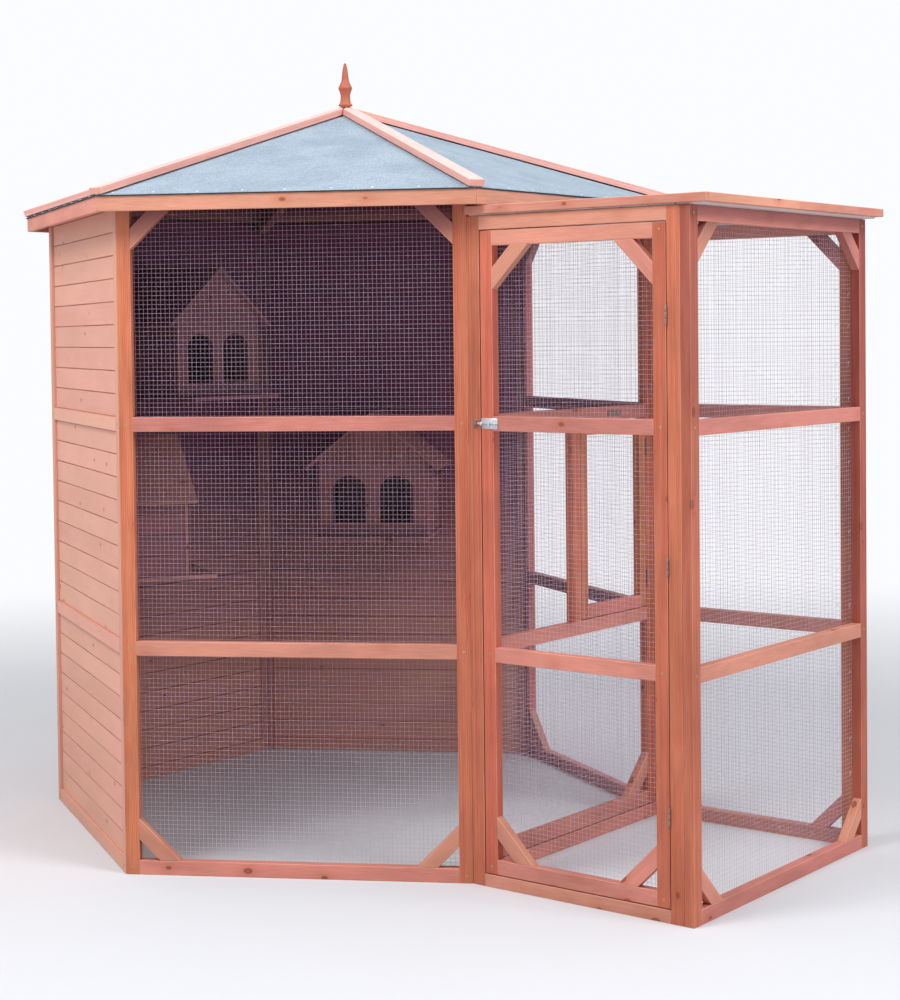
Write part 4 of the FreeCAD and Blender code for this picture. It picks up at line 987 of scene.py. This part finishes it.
# The frames, each with the share of the inside's painted shade that reaches it.
FRAMES = {"front_frame": 0.6, "right_back_frame": 0.6, "left_front_frame": 1.0, "left_back_frame": 1.0,
          "back_frame": 1.0, "porch_front_frame": 0, "porch_outer_frame": 0, "porch_back_frame": 0,
          "inner_wall_frame": 0}
BRACE_NODES = ("front_braces", "right_back_braces", "porch_outer_braces", "porch_back_braces")
BOARD_NODES = ("left_front_boards", "left_back_boards", "back_boards")
DOOR_NODES = ("front_door_frame", "front_door_braces", "inner_door_frame", "inner_door_braces",
              "hatch_frame")
NETS = (("front_mesh", "front"), ("right_back_mesh", "right_back"), ("porch_outer_mesh", "porch_outer"),
        ("porch_back_mesh", "porch_back"), ("front_door_mesh", "porch_front"),
        ("inner_door_mesh", "inner"), ("hatch_mesh", "inner"))
METAL_NODES = ("front_door_hinges_fixed", "front_door_hinges_moving", "inner_door_hinges_fixed",
               "inner_door_hinges_moving", "hatch_hinges_fixed", "hatch_hinges_moving",
               "front_door_bolt", "front_door_bolt_guides", "inner_door_bolt",
               "inner_door_bolt_guides", "bolt_keepers", "hatch_button")
# The painted shade on each nest box.
NEST_PAINTED_SHADE = {"left_front": 0.35, "left_back": 0.8, "back": 0.7}

# The reach and the strength of the shade painted under the eaves.
PORCH_FRAME_SHADE = (0.03, 0.65)
BRACE_SHADE = (0.12, 0.8)


class AVIARY_OT_wall_frames(bpy.types.Operator):
    """Planes the frames of the walls and of the porch"""

    bl_idname = "aviary.wall_frames"
    bl_label = "Wall Frames"

    def execute(self, context):
        for node, share in FRAMES.items():
            wall = node.removesuffix("_frame")
            # Painted shade inside the room; on the porch's outer frame, painted shade under the eaves
            # instead.
            shelter = shade_painted_in(wall, FRAMES_DIM_FROM, share) if share else None
            if wall == "porch_outer":
                shelter = shade_painted_under_eaves(PORCH_EAVES, *PORCH_FRAME_SHADE)
            closed = wall + "_boards" in BOARD_NODES
            dress(node, pine("stained_board_pine" if closed else "stained_frame_pine"),
                  context.scene.aviary_timber.arris, shelter=shelter)
        return {"FINISHED"}


class AVIARY_OT_corner_braces(bpy.types.Operator):
    """Planes the braces in the corners of the walls"""

    bl_idname = "aviary.corner_braces"
    bl_label = "Corner Braces"

    def execute(self, context):
        for node in BRACE_NODES:
            eaves = PORCH_EAVES if node.startswith("porch") else MAIN_EAVES
            # Painted shade at the braces' tops, under the eaves.
            dress(node, pine("stained_frame_pine"), context.scene.aviary_timber.arris,
                  shelter=shade_painted_under_eaves(eaves, *BRACE_SHADE))
        return {"FINISHED"}


class AVIARY_OT_wall_boards(bpy.types.Operator):
    """Planes the level boards of the three closed walls"""

    bl_idname = "aviary.wall_boards"
    bl_label = "Wall Boards"

    def execute(self, context):
        for node in BOARD_NODES:
            wall = node.removesuffix("_boards")
            # Painted shade on the boards' inner faces.
            dress(node, pine("stained_board_pine"),
                  context.scene.aviary_timber.board_arris, shelter=shade_painted_in(wall), wall=wall)
        return {"FINISHED"}


class AVIARY_OT_doors(bpy.types.Operator):
    """Planes the leaves of both doors and the hatch"""

    bl_idname = "aviary.doors"
    bl_label = "Doors And Hatch"

    def execute(self, context):
        for node in DOOR_NODES:
            dress(node, pine("stained_frame_pine"), context.scene.aviary_timber.arris)
        return {"FINISHED"}


# How far in from the front of a packed net its wires and the crowns of its staples lie, in wires.
NET_SET_BACK = 1.2
STAPLE_SET_BACK = 2.2


class AVIARY_OT_wire_mesh(bpy.types.Operator):
    """Draws every wire of the welded mesh"""

    bl_idname = "aviary.wire_mesh"
    bl_label = "Wire Mesh"

    def execute(self, context):
        settings = context.scene.aviary_mesh
        tree = group_once("welded_net", welded_net_tree)
        wire = metal("galvanised_wire")
        for number, (node, wall) in enumerate(NETS):
            whole = bmesh.new()
            for corners, _ in shells_of(node):
                low, high = extent_in(wall, corners)
                sheet = grown(tree, {
                    "Width": high.x - low.x, "Height": high.z - low.z, "Pitch": settings.pitch,
                    "Wire": settings.wire, "Wave": settings.wave, "Seed": float(number),
                    "Material": wire})
                back = low.y + settings.wire * NET_SET_BACK
                sheet.transform(WALLS[wall] @ Matrix.Translation((low.x, back, low.z)))
                whole.from_mesh(sheet)
            name = node + "_wires"
            show(name, plain_mesh(name, whole), wire, body_of(node), [node])
        return {"FINISHED"}


class Slope:
    """A sloping sheet: the ways level, up and out of it, and its upper face along them."""

    def __init__(self, corners, faces):
        solid = solid_mesh(corners, faces)
        face = largest(face for face in solid.faces if face.normal.z > 0)
        self.out = face.normal.copy()
        ways = [(edge.verts[1].co - edge.verts[0].co).normalized() for edge in face.edges]
        self.level = min(ways, key=lambda way: abs(way.z))
        if self.out.cross(self.level).z < 0:
            self.level = -self.level
        self.rise = self.out.cross(self.level)
        self.top = self.out.dot(face.verts[0].co)
        depths = [self.out.dot(point.co) for point in solid.verts]
        self.thick = max(depths) - min(depths)
        self.spots = [(self.level.dot(point.co), self.rise.dot(point.co)) for point in face.verts]
        self.low, self.high = min(up for _, up in self.spots), max(up for _, up in self.spots)
        solid.free()

    def ends(self, height):
        """Where the upper face begins and ends at its foot or its head."""
        across = [along for along, up in self.spots if abs(up - height) < SAME_PLACE]
        return min(across), max(across)

    def spot(self, along, up):
        """A place on the upper face."""
        return self.level * along + self.rise * up + self.out * self.top


# A felt sheet: its divisions, how much of the solid's thickness it has, its wide and fine ripples to
# the metre along the sheet and up it, how they calm down towards foot and head, how far they lie
# under the solid's face, and how the turned edge frays.
FELT_COLUMNS, FELT_ROWS, FOLD_ROWS = 56, 44, 3
FELT_THICKNESS = 0.8
WIDE_RIPPLES, FINE_RIPPLES, FRAYS = (9, 5), (26, 17), 31
FINE_SHARE = 0.5
CALM_RATE, CALM_FOOT = 3.5, 0.12
SAG = 0.35
FRAY = 0.22
SEED_STEP, SEED_DRIFT = 5.3, 3.1


def felt_rows(slope, ripple, drip, seed):
    """The upper side of a felt sheet, as rows of places from its turned edge to its head."""
    folds = FOLD_ROWS if drip else 0
    foot, head = slope.ends(slope.low), slope.ends(slope.high)
    rows = []
    for row in range(-folds, FELT_ROWS + 1):
        share = max(row, 0) / FELT_ROWS
        left, right = (low + (high - low) * share for low, high in zip(foot, head))
        up = slope.low + (slope.high - slope.low) * share
        calm = min(1.0, CALM_RATE * min(share + CALM_FOOT, 1 - share))
        line = []
        for column in range(FELT_COLUMNS + 1):
            along = left + (right - left) * column / FELT_COLUMNS
            wave = noise.noise(Vector((along * WIDE_RIPPLES[0] + seed, up * WIDE_RIPPLES[1],
                                       seed * SEED_DRIFT)))
            wave += FINE_SHARE * noise.noise(Vector((along * FINE_RIPPLES[0],
                                                     up * FINE_RIPPLES[1] + seed, seed)))
            spot = slope.spot(along, up) + slope.out * (ripple * calm * (wave * 0.5 - SAG))
            if row < 0:
                fray = 1 + FRAY * noise.noise(Vector((along * FRAYS, seed, 0.0)))
                spot = spot - UP * (drip * -row / folds) * fray
            line.append(spot)
        rows.append(line)
    return rows


def rim(rows):
    """The points round the edge of a grid, in order."""
    return (rows[0] + [row[-1] for row in rows[1:-1]] + rows[-1][::-1]
            + [row[0] for row in rows[-2:0:-1]])


def lay_felt(node, name, drip, first_seed):
    """Lays a felt sheet over each solid of a node: rippled, and turned down at its lowest edge."""
    pile = Pile()
    folds = FOLD_ROWS if drip else 0
    for number, (corners, faces) in enumerate(shells_of(node)):
        seed = first_seed + number * SEED_STEP
        slope = Slope(corners, faces)
        rows = felt_rows(slope, bpy.context.scene.aviary_roof.ripple, drip, seed)
        inward = Vector((slope.rise.x, slope.rise.y, 0)).normalized()
        thick = slope.thick * FELT_THICKNESS
        sheet = bmesh.new()
        upper = [[sheet.verts.new(spot) for spot in line] for line in rows]
        lower = [[sheet.verts.new(spot + (inward if k < folds else -slope.out) * thick) for spot in line]
                 for k, line in enumerate(rows)]
        for k in range(1, len(rows)):
            bridge(sheet, upper[k - 1], upper[k], closed=False)
            bridge(sheet, lower[k], lower[k - 1], closed=False)
        bridge(sheet, rim(lower), rim(upper))
        bmesh.ops.recalc_face_normals(sheet, faces=sheet.faces)
        cut = {point for line in upper[:folds] + lower for point in line}
        pile.add(sheet, seed="felt %s" % seed, ridges=cut, smooth=True)
    show(name, pile.mesh(name), felt(), "root", [node])


class AVIARY_OT_porch_roof(bpy.types.Operator):
    """Lays the porch roof: boards, felt and edging"""

    bl_idname = "aviary.porch_roof"
    bl_label = "Porch Roof"

    def execute(self, context):
        timber = context.scene.aviary_timber
        dress("porch_roof_deck", pine("washed_deck_pine"), timber.board_arris)
        dress("porch_roof_edging", pine("stained_frame_pine"), timber.arris)
        lay_felt("porch_roof_felt", "porch_roof_felt_sheet", 0, PORCH_FELT_SEED)
        return {"FINISHED"}


class AVIARY_OT_main_roof(bpy.types.Operator):
    """Lays the main roof: rafters, boards, felt, fascias and hip battens"""

    bl_idname = "aviary.main_roof"
    bl_label = "Main Roof"

    def execute(self, context):
        timber = context.scene.aviary_timber
        roof = context.scene.aviary_roof
        # The roof's underside: a dimmed pine and painted shade.
        inside = pine("stained_inside_pine")
        dress("roof_boards", inside, timber.board_arris, level_way, roof.board,
              shade_painted_under_roof)
        dress("roof_fascias", pine("stained_frame_pine"), timber.arris)
        dress("hip_battens", pine("stained_batten_pine"), timber.arris)
        for node in ("hip_rafters", "king_block"):
            dress(node, inside, timber.arris, shelter=shade_painted_under_roof)
        lay_felt("roof_felt", "roof_felt_sheets", roof.drip, ROOF_FELT_SEED)
        return {"FINISHED"}


# A little more than the radius of the finial's peg.
FINIAL_PEG = 0.0081


class AVIARY_OT_finial(bpy.types.Operator):
    """Turns the finial on a lathe"""

    bl_idname = "aviary.finial"
    bl_label = "Finial"

    steps: IntProperty(name="Steps", description="Faces round the finial", default=48, min=12)

    def execute(self, context):
        middle = middle_of("finial")
        profile = {}
        for corner in shells_of("finial")[0][0]:
            reach = math.hypot(corner.x - middle.x, corner.y - middle.y)
            profile.setdefault(round(corner.z, 5), []).append(reach)
        outline = sorted((height, max(reaches)) for height, reaches in profile.items())
        # The foot is hollow, so its rim hangs lower than the place where the peg meets it.
        foot = next(k for k, (height, reach) in enumerate(outline) if reach > FINIAL_PEG)
        under = next(k for k in range(foot, len(outline)) if outline[k][1] < FINIAL_PEG)
        outline = outline[:foot] + [outline[under]] + outline[foot:under] + outline[under + 1:]
        turned = bmesh.new()
        rings = [circle(turned, reach, height, self.steps, middle) for height, reach in outline[:-1]]
        tip = turned.verts.new((middle.x, middle.y, outline[-1][0]))
        turned.faces.new(rings[0][::-1])
        for below, above in zip(rings, rings[1:]):
            bridge(turned, below, above)
        for k in range(self.steps):
            turned.faces.new((rings[-1][k - 1], rings[-1][k], tip))
        bmesh.ops.recalc_face_normals(turned, faces=turned.faces)
        pile = Pile()
        pile.add(turned, Matrix(((0, 0, 1), (1, 0, 0), (0, 1, 0))), "finial 2.26", smooth=True)
        show("finial_turned", pile.mesh("finial_turned"), pine("stained_inside_pine"), "root",
             ["finial"])
        return {"FINISHED"}


# A board whose longest edge rises by a share between these belongs to a gable.
GABLE_FROM, GABLE_TO = 0.1, 0.99


def gable_way(solid):
    """Gable boards stand on end; every other board of a nest box lies along its longest edge."""
    way = longest_way(solid)
    return UP if GABLE_FROM < abs(way.normalized().z) < GABLE_TO else way


class AVIARY_OT_nest_boxes(bpy.types.Operator):
    """Planes the three nest boxes, with their arched doorways"""

    bl_idname = "aviary.nest_boxes"
    bl_label = "Nest Boxes"

    def execute(self, context):
        for side, dim in NEST_PAINTED_SHADE.items():
            # Painted shade on the nest box, darker within it.
            shelter = shade_painted_in_nest(side, dim)
            for part, along in (("_nest_body", gable_way), ("_nest_front", None), ("_nest_roof", None)):
                dress(side + part, pine("stained_nest_pine"),
                      context.scene.aviary_timber.fine_arris, along, shelter=shelter)
        return {"FINISHED"}


class AVIARY_OT_ironmongery(bpy.types.Operator):
    """Rounds and plates the hinges, bolts, keepers and turn button"""

    bl_idname = "aviary.ironmongery"
    bl_label = "Ironmongery"

    def execute(self, context):
        for node in METAL_NODES:
            pile = Pile()
            for number, (corners, faces) in enumerate(shells_of(node)):
                solid = solid_mesh(corners, faces)
                soften(solid, context.scene.aviary_fittings.arris, 1)
                pile.add(solid, seed="%s %d" % (node, number), smooth=True)
            name = node + "_plated"
            plating = metal("zinc_plate" if node.startswith("front_door_bolt") else "dull_steel")
            show(name, pile.mesh(name), plating, body_of(node), [node])
        return {"FINISHED"}


SCREW_SIDES = 16
NAIL_SIDES = 12


def screw_part():
    """A countersunk screw head of radius one with a cross slot, its rim on the timber's face."""
    part = bmesh.new()
    crown, slot, half_slot, half_sunk = 0.86, 0.52, 0.13, 0.1
    foot_height, lip_height, rise, sink = -0.05, 0.05, 0.14, -0.16

    def cross(height, reach, half):
        spots = []
        for k in range(4):
            ahead = Vector((math.cos(math.pi / 2 * k), math.sin(math.pi / 2 * k), 0))
            left = Vector((-ahead.y, ahead.x, 0))
            spots += [ahead * reach - left * half, ahead * reach + left * half, (ahead + left) * half]
        return [part.verts.new((spot.x, spot.y, height)) for spot in spots]

    foot = circle(part, 1.0, foot_height, SCREW_SIDES)
    lip = circle(part, 1.0, lip_height, SCREW_SIDES)
    top = circle(part, crown, rise, SCREW_SIDES)
    inner = cross(rise, slot, half_slot)
    deep = cross(sink, slot * 0.8, half_sunk)
    bridge(part, foot, lip)
    bridge(part, lip, top)
    bridge(part, inner, deep)
    part.faces.new(deep)
    edges = [edge for edge in part.edges if len(edge.link_faces) == 1
             and all(abs(point.co.z - rise) < WELD_STEP for point in edge.verts)]
    bmesh.ops.triangle_fill(part, use_beauty=True, edges=edges, normal=UP)
    part.faces.new(foot[::-1])
    bmesh.ops.recalc_face_normals(part, faces=part.faces)
    return plain_mesh("screw", part)


def staple_part():
    """A staple's crown and the tops of its legs, lying across X, one unit wide."""
    wire, lean = 0.055, 0.1
    corners = ((-1, -1), (1, -1), (1, 1), (-1, 1))
    part = bmesh.new()
    skin(part, [[part.verts.new((x * (1 - lean * b), a * wire, z + b * wire)) for a, b in corners]
                for x, z in ((-0.5, -0.15), (-0.5, 0.02), (-0.42, 0.09), (0.42, 0.09), (0.5, 0.02),
                             (0.5, -0.15))])
    bmesh.ops.recalc_face_normals(part, faces=part.faces)
    return plain_mesh("staple", part)


def nail_part():
    """A flat round nail head of radius one, slightly domed."""
    part = bmesh.new()
    skin(part, [circle(part, radius, height, NAIL_SIDES)
                for radius, height in ((1.0, -0.2), (1.0, 0.1), (0.8, 0.2))])
    return plain_mesh("nail", part)


def facing_of(wall, way):
    """The direction out of a wall, or with a way of one into the room."""
    return tuple((WALLS[wall].to_3x3() @ Vector((0, way, 0))).normalized())


def screw_spots(wall, places, depth, seed):
    """Places on a wall's outer face, each with a turn of its own."""
    chance = random.Random(seed)
    return [(WALLS[wall] @ Vector((x, depth, z)), facing_of(wall, -1), chance.uniform(0, math.tau))
            for x, z in places]


# The screws of the doors and the hatch: their wall, how far along it and how high they are.
DOOR_SCREWS = {
    "front_door": ("porch_front", (0.063, 0.617), (0.0585, 0.6475, 1.2845, 1.7924)),
    "inner_door": ("inner", (0.063, 0.937), (0.0645, 0.6475, 1.2845, 1.8755)),
    "hatch": ("inner", (0.57, 0.897), (0.69, 1.242)),
}
DOOR_SCREW_DEPTH = 0.001

# How near to a wall's outer face, and how far past its ends, a panel screw still belongs to it.
NEAR_FACE = 0.0012
PAST_END = 0.01


class AVIARY_OT_screws(bpy.types.Operator):
    """Drives a cross-slotted screw where each rail meets a stile"""

    bl_idname = "aviary.screws"
    bl_label = "Screws"

    def execute(self, context):
        part, size = screw_part(), context.scene.aviary_fittings.screw_head
        spots = []
        for number, (corners, _) in enumerate(shells_of("panel_screws")):
            middle = sum(corners, Vector()) / len(corners)
            for wall, place in WALLS.items():
                inside = place.inverted() @ middle
                if abs(inside.y) < NEAR_FACE and -PAST_END < inside.x < SIDE + PAST_END:
                    spots += screw_spots(wall, [(inside.x, inside.z)], 0, "panel %d" % number)
        plating = metal("passivated_screw")
        repeated("panel_screw_heads", part, spots, size, plating, "root", ["panel_screws"])
        for body, (wall, columns, rows) in DOOR_SCREWS.items():
            places = [(x, z) for x in columns for z in rows]
            spots = screw_spots(wall, places, DOOR_SCREW_DEPTH, body)
            repeated(body + "_screw_heads", part, spots, size, plating, body)
        return {"FINISHED"}


# How far staples lie in from a net's edge, and how they stray and turn, in metres and radians.
STAPLE_INSET = 0.012
STAPLE_STRAY = (-0.012, 0.012)
STAPLE_TURN = (-0.3, 0.3)


class AVIARY_OT_staples(bpy.types.Operator):
    """Staples the mesh to the backs of its frames"""

    bl_idname = "aviary.staples"
    bl_label = "Staples"

    def execute(self, context):
        settings = context.scene.aviary_mesh
        part = staple_part()
        for node, wall in NETS:
            spots = []
            chance = random.Random(node)
            for corners, _ in shells_of(node):
                low, high = extent_in(wall, corners)
                place = Vector((0, low.y + settings.wire * STAPLE_SET_BACK, 0))
                for along, across, quarter in ((0, 2, math.pi / 2), (2, 0, 0.0)):
                    length = high[along] - low[along]
                    count = max(2, round(length / settings.staple_spacing))
                    for k in range(1, count):
                        place[along] = low[along] + length * k / count + chance.uniform(*STAPLE_STRAY)
                        for edge in (low[across] + STAPLE_INSET, high[across] - STAPLE_INSET):
                            place[across] = edge
                            turn = quarter + chance.uniform(*STAPLE_TURN)
                            spots.append((WALLS[wall] @ place, facing_of(wall, 1), turn))
            repeated(node + "_staples", part, spots, settings.staple_width, metal("zinc_plate"),
                     body_of(node))
        return {"FINISHED"}


# How far the felt nails lie in from a sheet's ends and foot, and how they stray.
NAIL_END, NAIL_FOOT = 0.04, 0.02
NAIL_STRAY_ALONG, NAIL_STRAY_UP = (-0.008, 0.008), (-0.003, 0.003)


class AVIARY_OT_felt_nails(bpy.types.Operator):
    """Nails the felt along the eaves"""

    bl_idname = "aviary.felt_nails"
    bl_label = "Felt Nails"

    def execute(self, context):
        roof = context.scene.aviary_roof
        spots = []
        for number, (corners, faces) in enumerate(shells_of("roof_felt")):
            slope = Slope(corners, faces)
            start, end = slope.ends(slope.low)
            chance = random.Random(number)
            run = end - start - 2 * NAIL_END
            count = round(run / roof.nail_spacing)
            for k in range(count + 1):
                along = start + NAIL_END + run * k / count + chance.uniform(*NAIL_STRAY_ALONG)
                up = slope.low + NAIL_FOOT + chance.uniform(*NAIL_STRAY_UP)
                spots.append((slope.spot(along, up), tuple(slope.out), 0.0))
        repeated("felt_nail_heads", nail_part(), spots, roof.nail_head, metal("zinc_plate"), "root")
        return {"FINISHED"}


# The stage: the floor's half width, the lamps' names, places and widths, and the camera's sensor.
BLACK = (0.0, 0.0, 0.0, 1.0)
GRIME = (0.6, 0.6, 0.62, 1.0)
FLOOR_REACH = 30
LAMPS = (("key", (-2.6, -3.6, 6.2), 2.8), ("side", (4.6, -3.0, 5.6), 3.0),
         ("top", (0.3, -0.6, 6.0), 5.0))
LAMPS_AIM = Vector((0, 0, 1.0))
SENSOR_WIDTH = 36


def floor_material(stage):
    """A pale floor that fades into the backdrop and throws back only a share of its light."""
    material = bpy.data.materials.new("pale_floor")
    material.use_nodes = True
    laid = Laid(material.node_tree)
    place = object_place(laid)
    away = laid.add("ShaderNodeVectorMath", {0: place}, operation="LENGTH").outputs["Value"]
    faded = laid.ramp(away, stage.near, stage.far)
    grime = laid.ramp(laid.noise(place, 2.4, 5.0, 0.6), 0.3, 0.7, 0.0, 0.05)
    worn = laid.mix(grime, stage.floor, GRIME)
    camera_ray = laid.add("ShaderNodeLightPath").outputs["Is Camera Ray"]
    lit = laid.mix(camera_ray, dimmed(stage.floor, stage.floor_bounce), worn)
    shader = material.node_tree.nodes["Principled BSDF"]
    for name, value in (("Base Color", laid.mix(faded, lit, BLACK)),
                        ("Emission Color", laid.mix(faded, BLACK, dimmed(stage.sky, stage.sky_seen))),
                        ("Emission Strength", 1.0), ("Specular IOR Level", 0.0), ("Roughness", 0.7)):
        laid.feed(shader.inputs[name], value)
    return material


def studio_world(stage):
    """Soft light all round, with a backdrop of its own brightness."""
    world = bpy.data.worlds.new("studio")
    world.use_nodes = True
    laid = Laid(world.node_tree)
    background = world.node_tree.nodes["Background"]
    seen = laid.add("ShaderNodeLightPath").outputs["Is Camera Ray"]
    strength = laid.ramp(seen, 0.0, 1.0, stage.sky_strength, stage.sky_seen, "LINEAR")
    laid.feed(background.inputs["Color"], stage.sky)
    laid.feed(background.inputs["Strength"], strength)
    return world


class AVIARY_OT_stage(bpy.types.Operator):
    """Lays the floor, hangs the lights and sets up the camera"""

    bl_idname = "aviary.stage"
    bl_label = "Stage"

    def execute(self, context):
        scene = context.scene
        stage = scene.aviary_stage
        mesh = bpy.data.meshes.new("floor")
        corners = ((-1, -1), (1, -1), (1, 1), (-1, 1))
        mesh.from_pydata([(x * FLOOR_REACH, y * FLOOR_REACH, 0) for x, y in corners], [], [(0, 1, 2, 3)])
        mesh.materials.append(floor_material(stage))
        floor = bpy.data.objects.new("floor", mesh)
        scene.collection.objects.link(floor)
        scene.world = studio_world(stage)

        for name, place, size in LAMPS:
            light = bpy.data.lights.new(name, "AREA")
            light.shape = "DISK"
            light.size = size
            light.energy = getattr(stage, name + "_power")
            lamp = bpy.data.objects.new(name, light)
            lamp.location = place
            lamp.rotation_euler = (LAMPS_AIM - lamp.location).to_track_quat("-Z", "Y").to_euler()
            scene.collection.objects.link(lamp)

        lens = bpy.data.cameras.new("camera")
        lens.lens = stage.lens
        lens.sensor_width = SENSOR_WIDTH
        lens.shift_y = stage.shift
        camera = bpy.data.objects.new("camera", lens)
        turn = (Matrix.Rotation(CAMERA_YAW, 4, "Z") @ Matrix.Rotation(CAMERA_PITCH, 4, "X")
                @ Matrix.Rotation(CAMERA_ROLL, 4, "Y") @ Matrix.Rotation(math.pi / 2, 4, "X"))
        place = HEXAGON_MIDDLE + CAMERA_FROM_MIDDLE
        place.z = CAMERA_HEIGHT
        camera.matrix_world = Matrix.Translation(place) @ turn
        scene.collection.objects.link(camera)
        scene.camera = camera
        scene.view_settings.view_transform = "Standard"
        return {"FINISHED"}


SETTINGS = (("aviary_timber", AviaryTimber), ("aviary_mesh", AviaryMesh), ("aviary_roof", AviaryRoof),
            ("aviary_fittings", AviaryFittings), ("aviary_stage", AviaryStage))
OPERATORS = (AVIARY_OT_stage, AVIARY_OT_wall_frames, AVIARY_OT_corner_braces, AVIARY_OT_wall_boards,
             AVIARY_OT_doors, AVIARY_OT_wire_mesh, AVIARY_OT_porch_roof, AVIARY_OT_main_roof,
             AVIARY_OT_finial, AVIARY_OT_nest_boxes, AVIARY_OT_ironmongery, AVIARY_OT_screws,
             AVIARY_OT_staples, AVIARY_OT_felt_nails)


class AVIARY_PT_pieces(bpy.types.Panel):
    """Lists the sizes, the colours and the pieces of the aviary"""

    bl_idname = "AVIARY_PT_pieces"
    bl_label = "Bird Aviary"
    bl_space_type = "VIEW_3D"
    bl_region_type = "UI"
    bl_category = "Aviary"

    def draw(self, context):
        for operator in OPERATORS:
            self.layout.operator(operator.bl_idname)
        for name, group in SETTINGS:
            box = self.layout.box()
            for key in group.__annotations__:
                box.prop(getattr(context.scene, name), key)


def register():
    for name, group in SETTINGS:
        bpy.utils.register_class(group)
        setattr(bpy.types.Scene, name, PointerProperty(type=group))
    for operator in OPERATORS:
        bpy.utils.register_class(operator)
    bpy.utils.register_class(AVIARY_PT_pieces)


def unregister():
    bpy.utils.unregister_class(AVIARY_PT_pieces)
    for operator in reversed(OPERATORS):
        bpy.utils.unregister_class(operator)
    for name, group in reversed(SETTINGS):
        delattr(bpy.types.Scene, name)
        bpy.utils.unregister_class(group)


def main():
    register()
    for operator in OPERATORS:
        getattr(bpy.ops.aviary, operator.bl_idname.split(".")[1])()


if __name__ == "__main__":
    main()
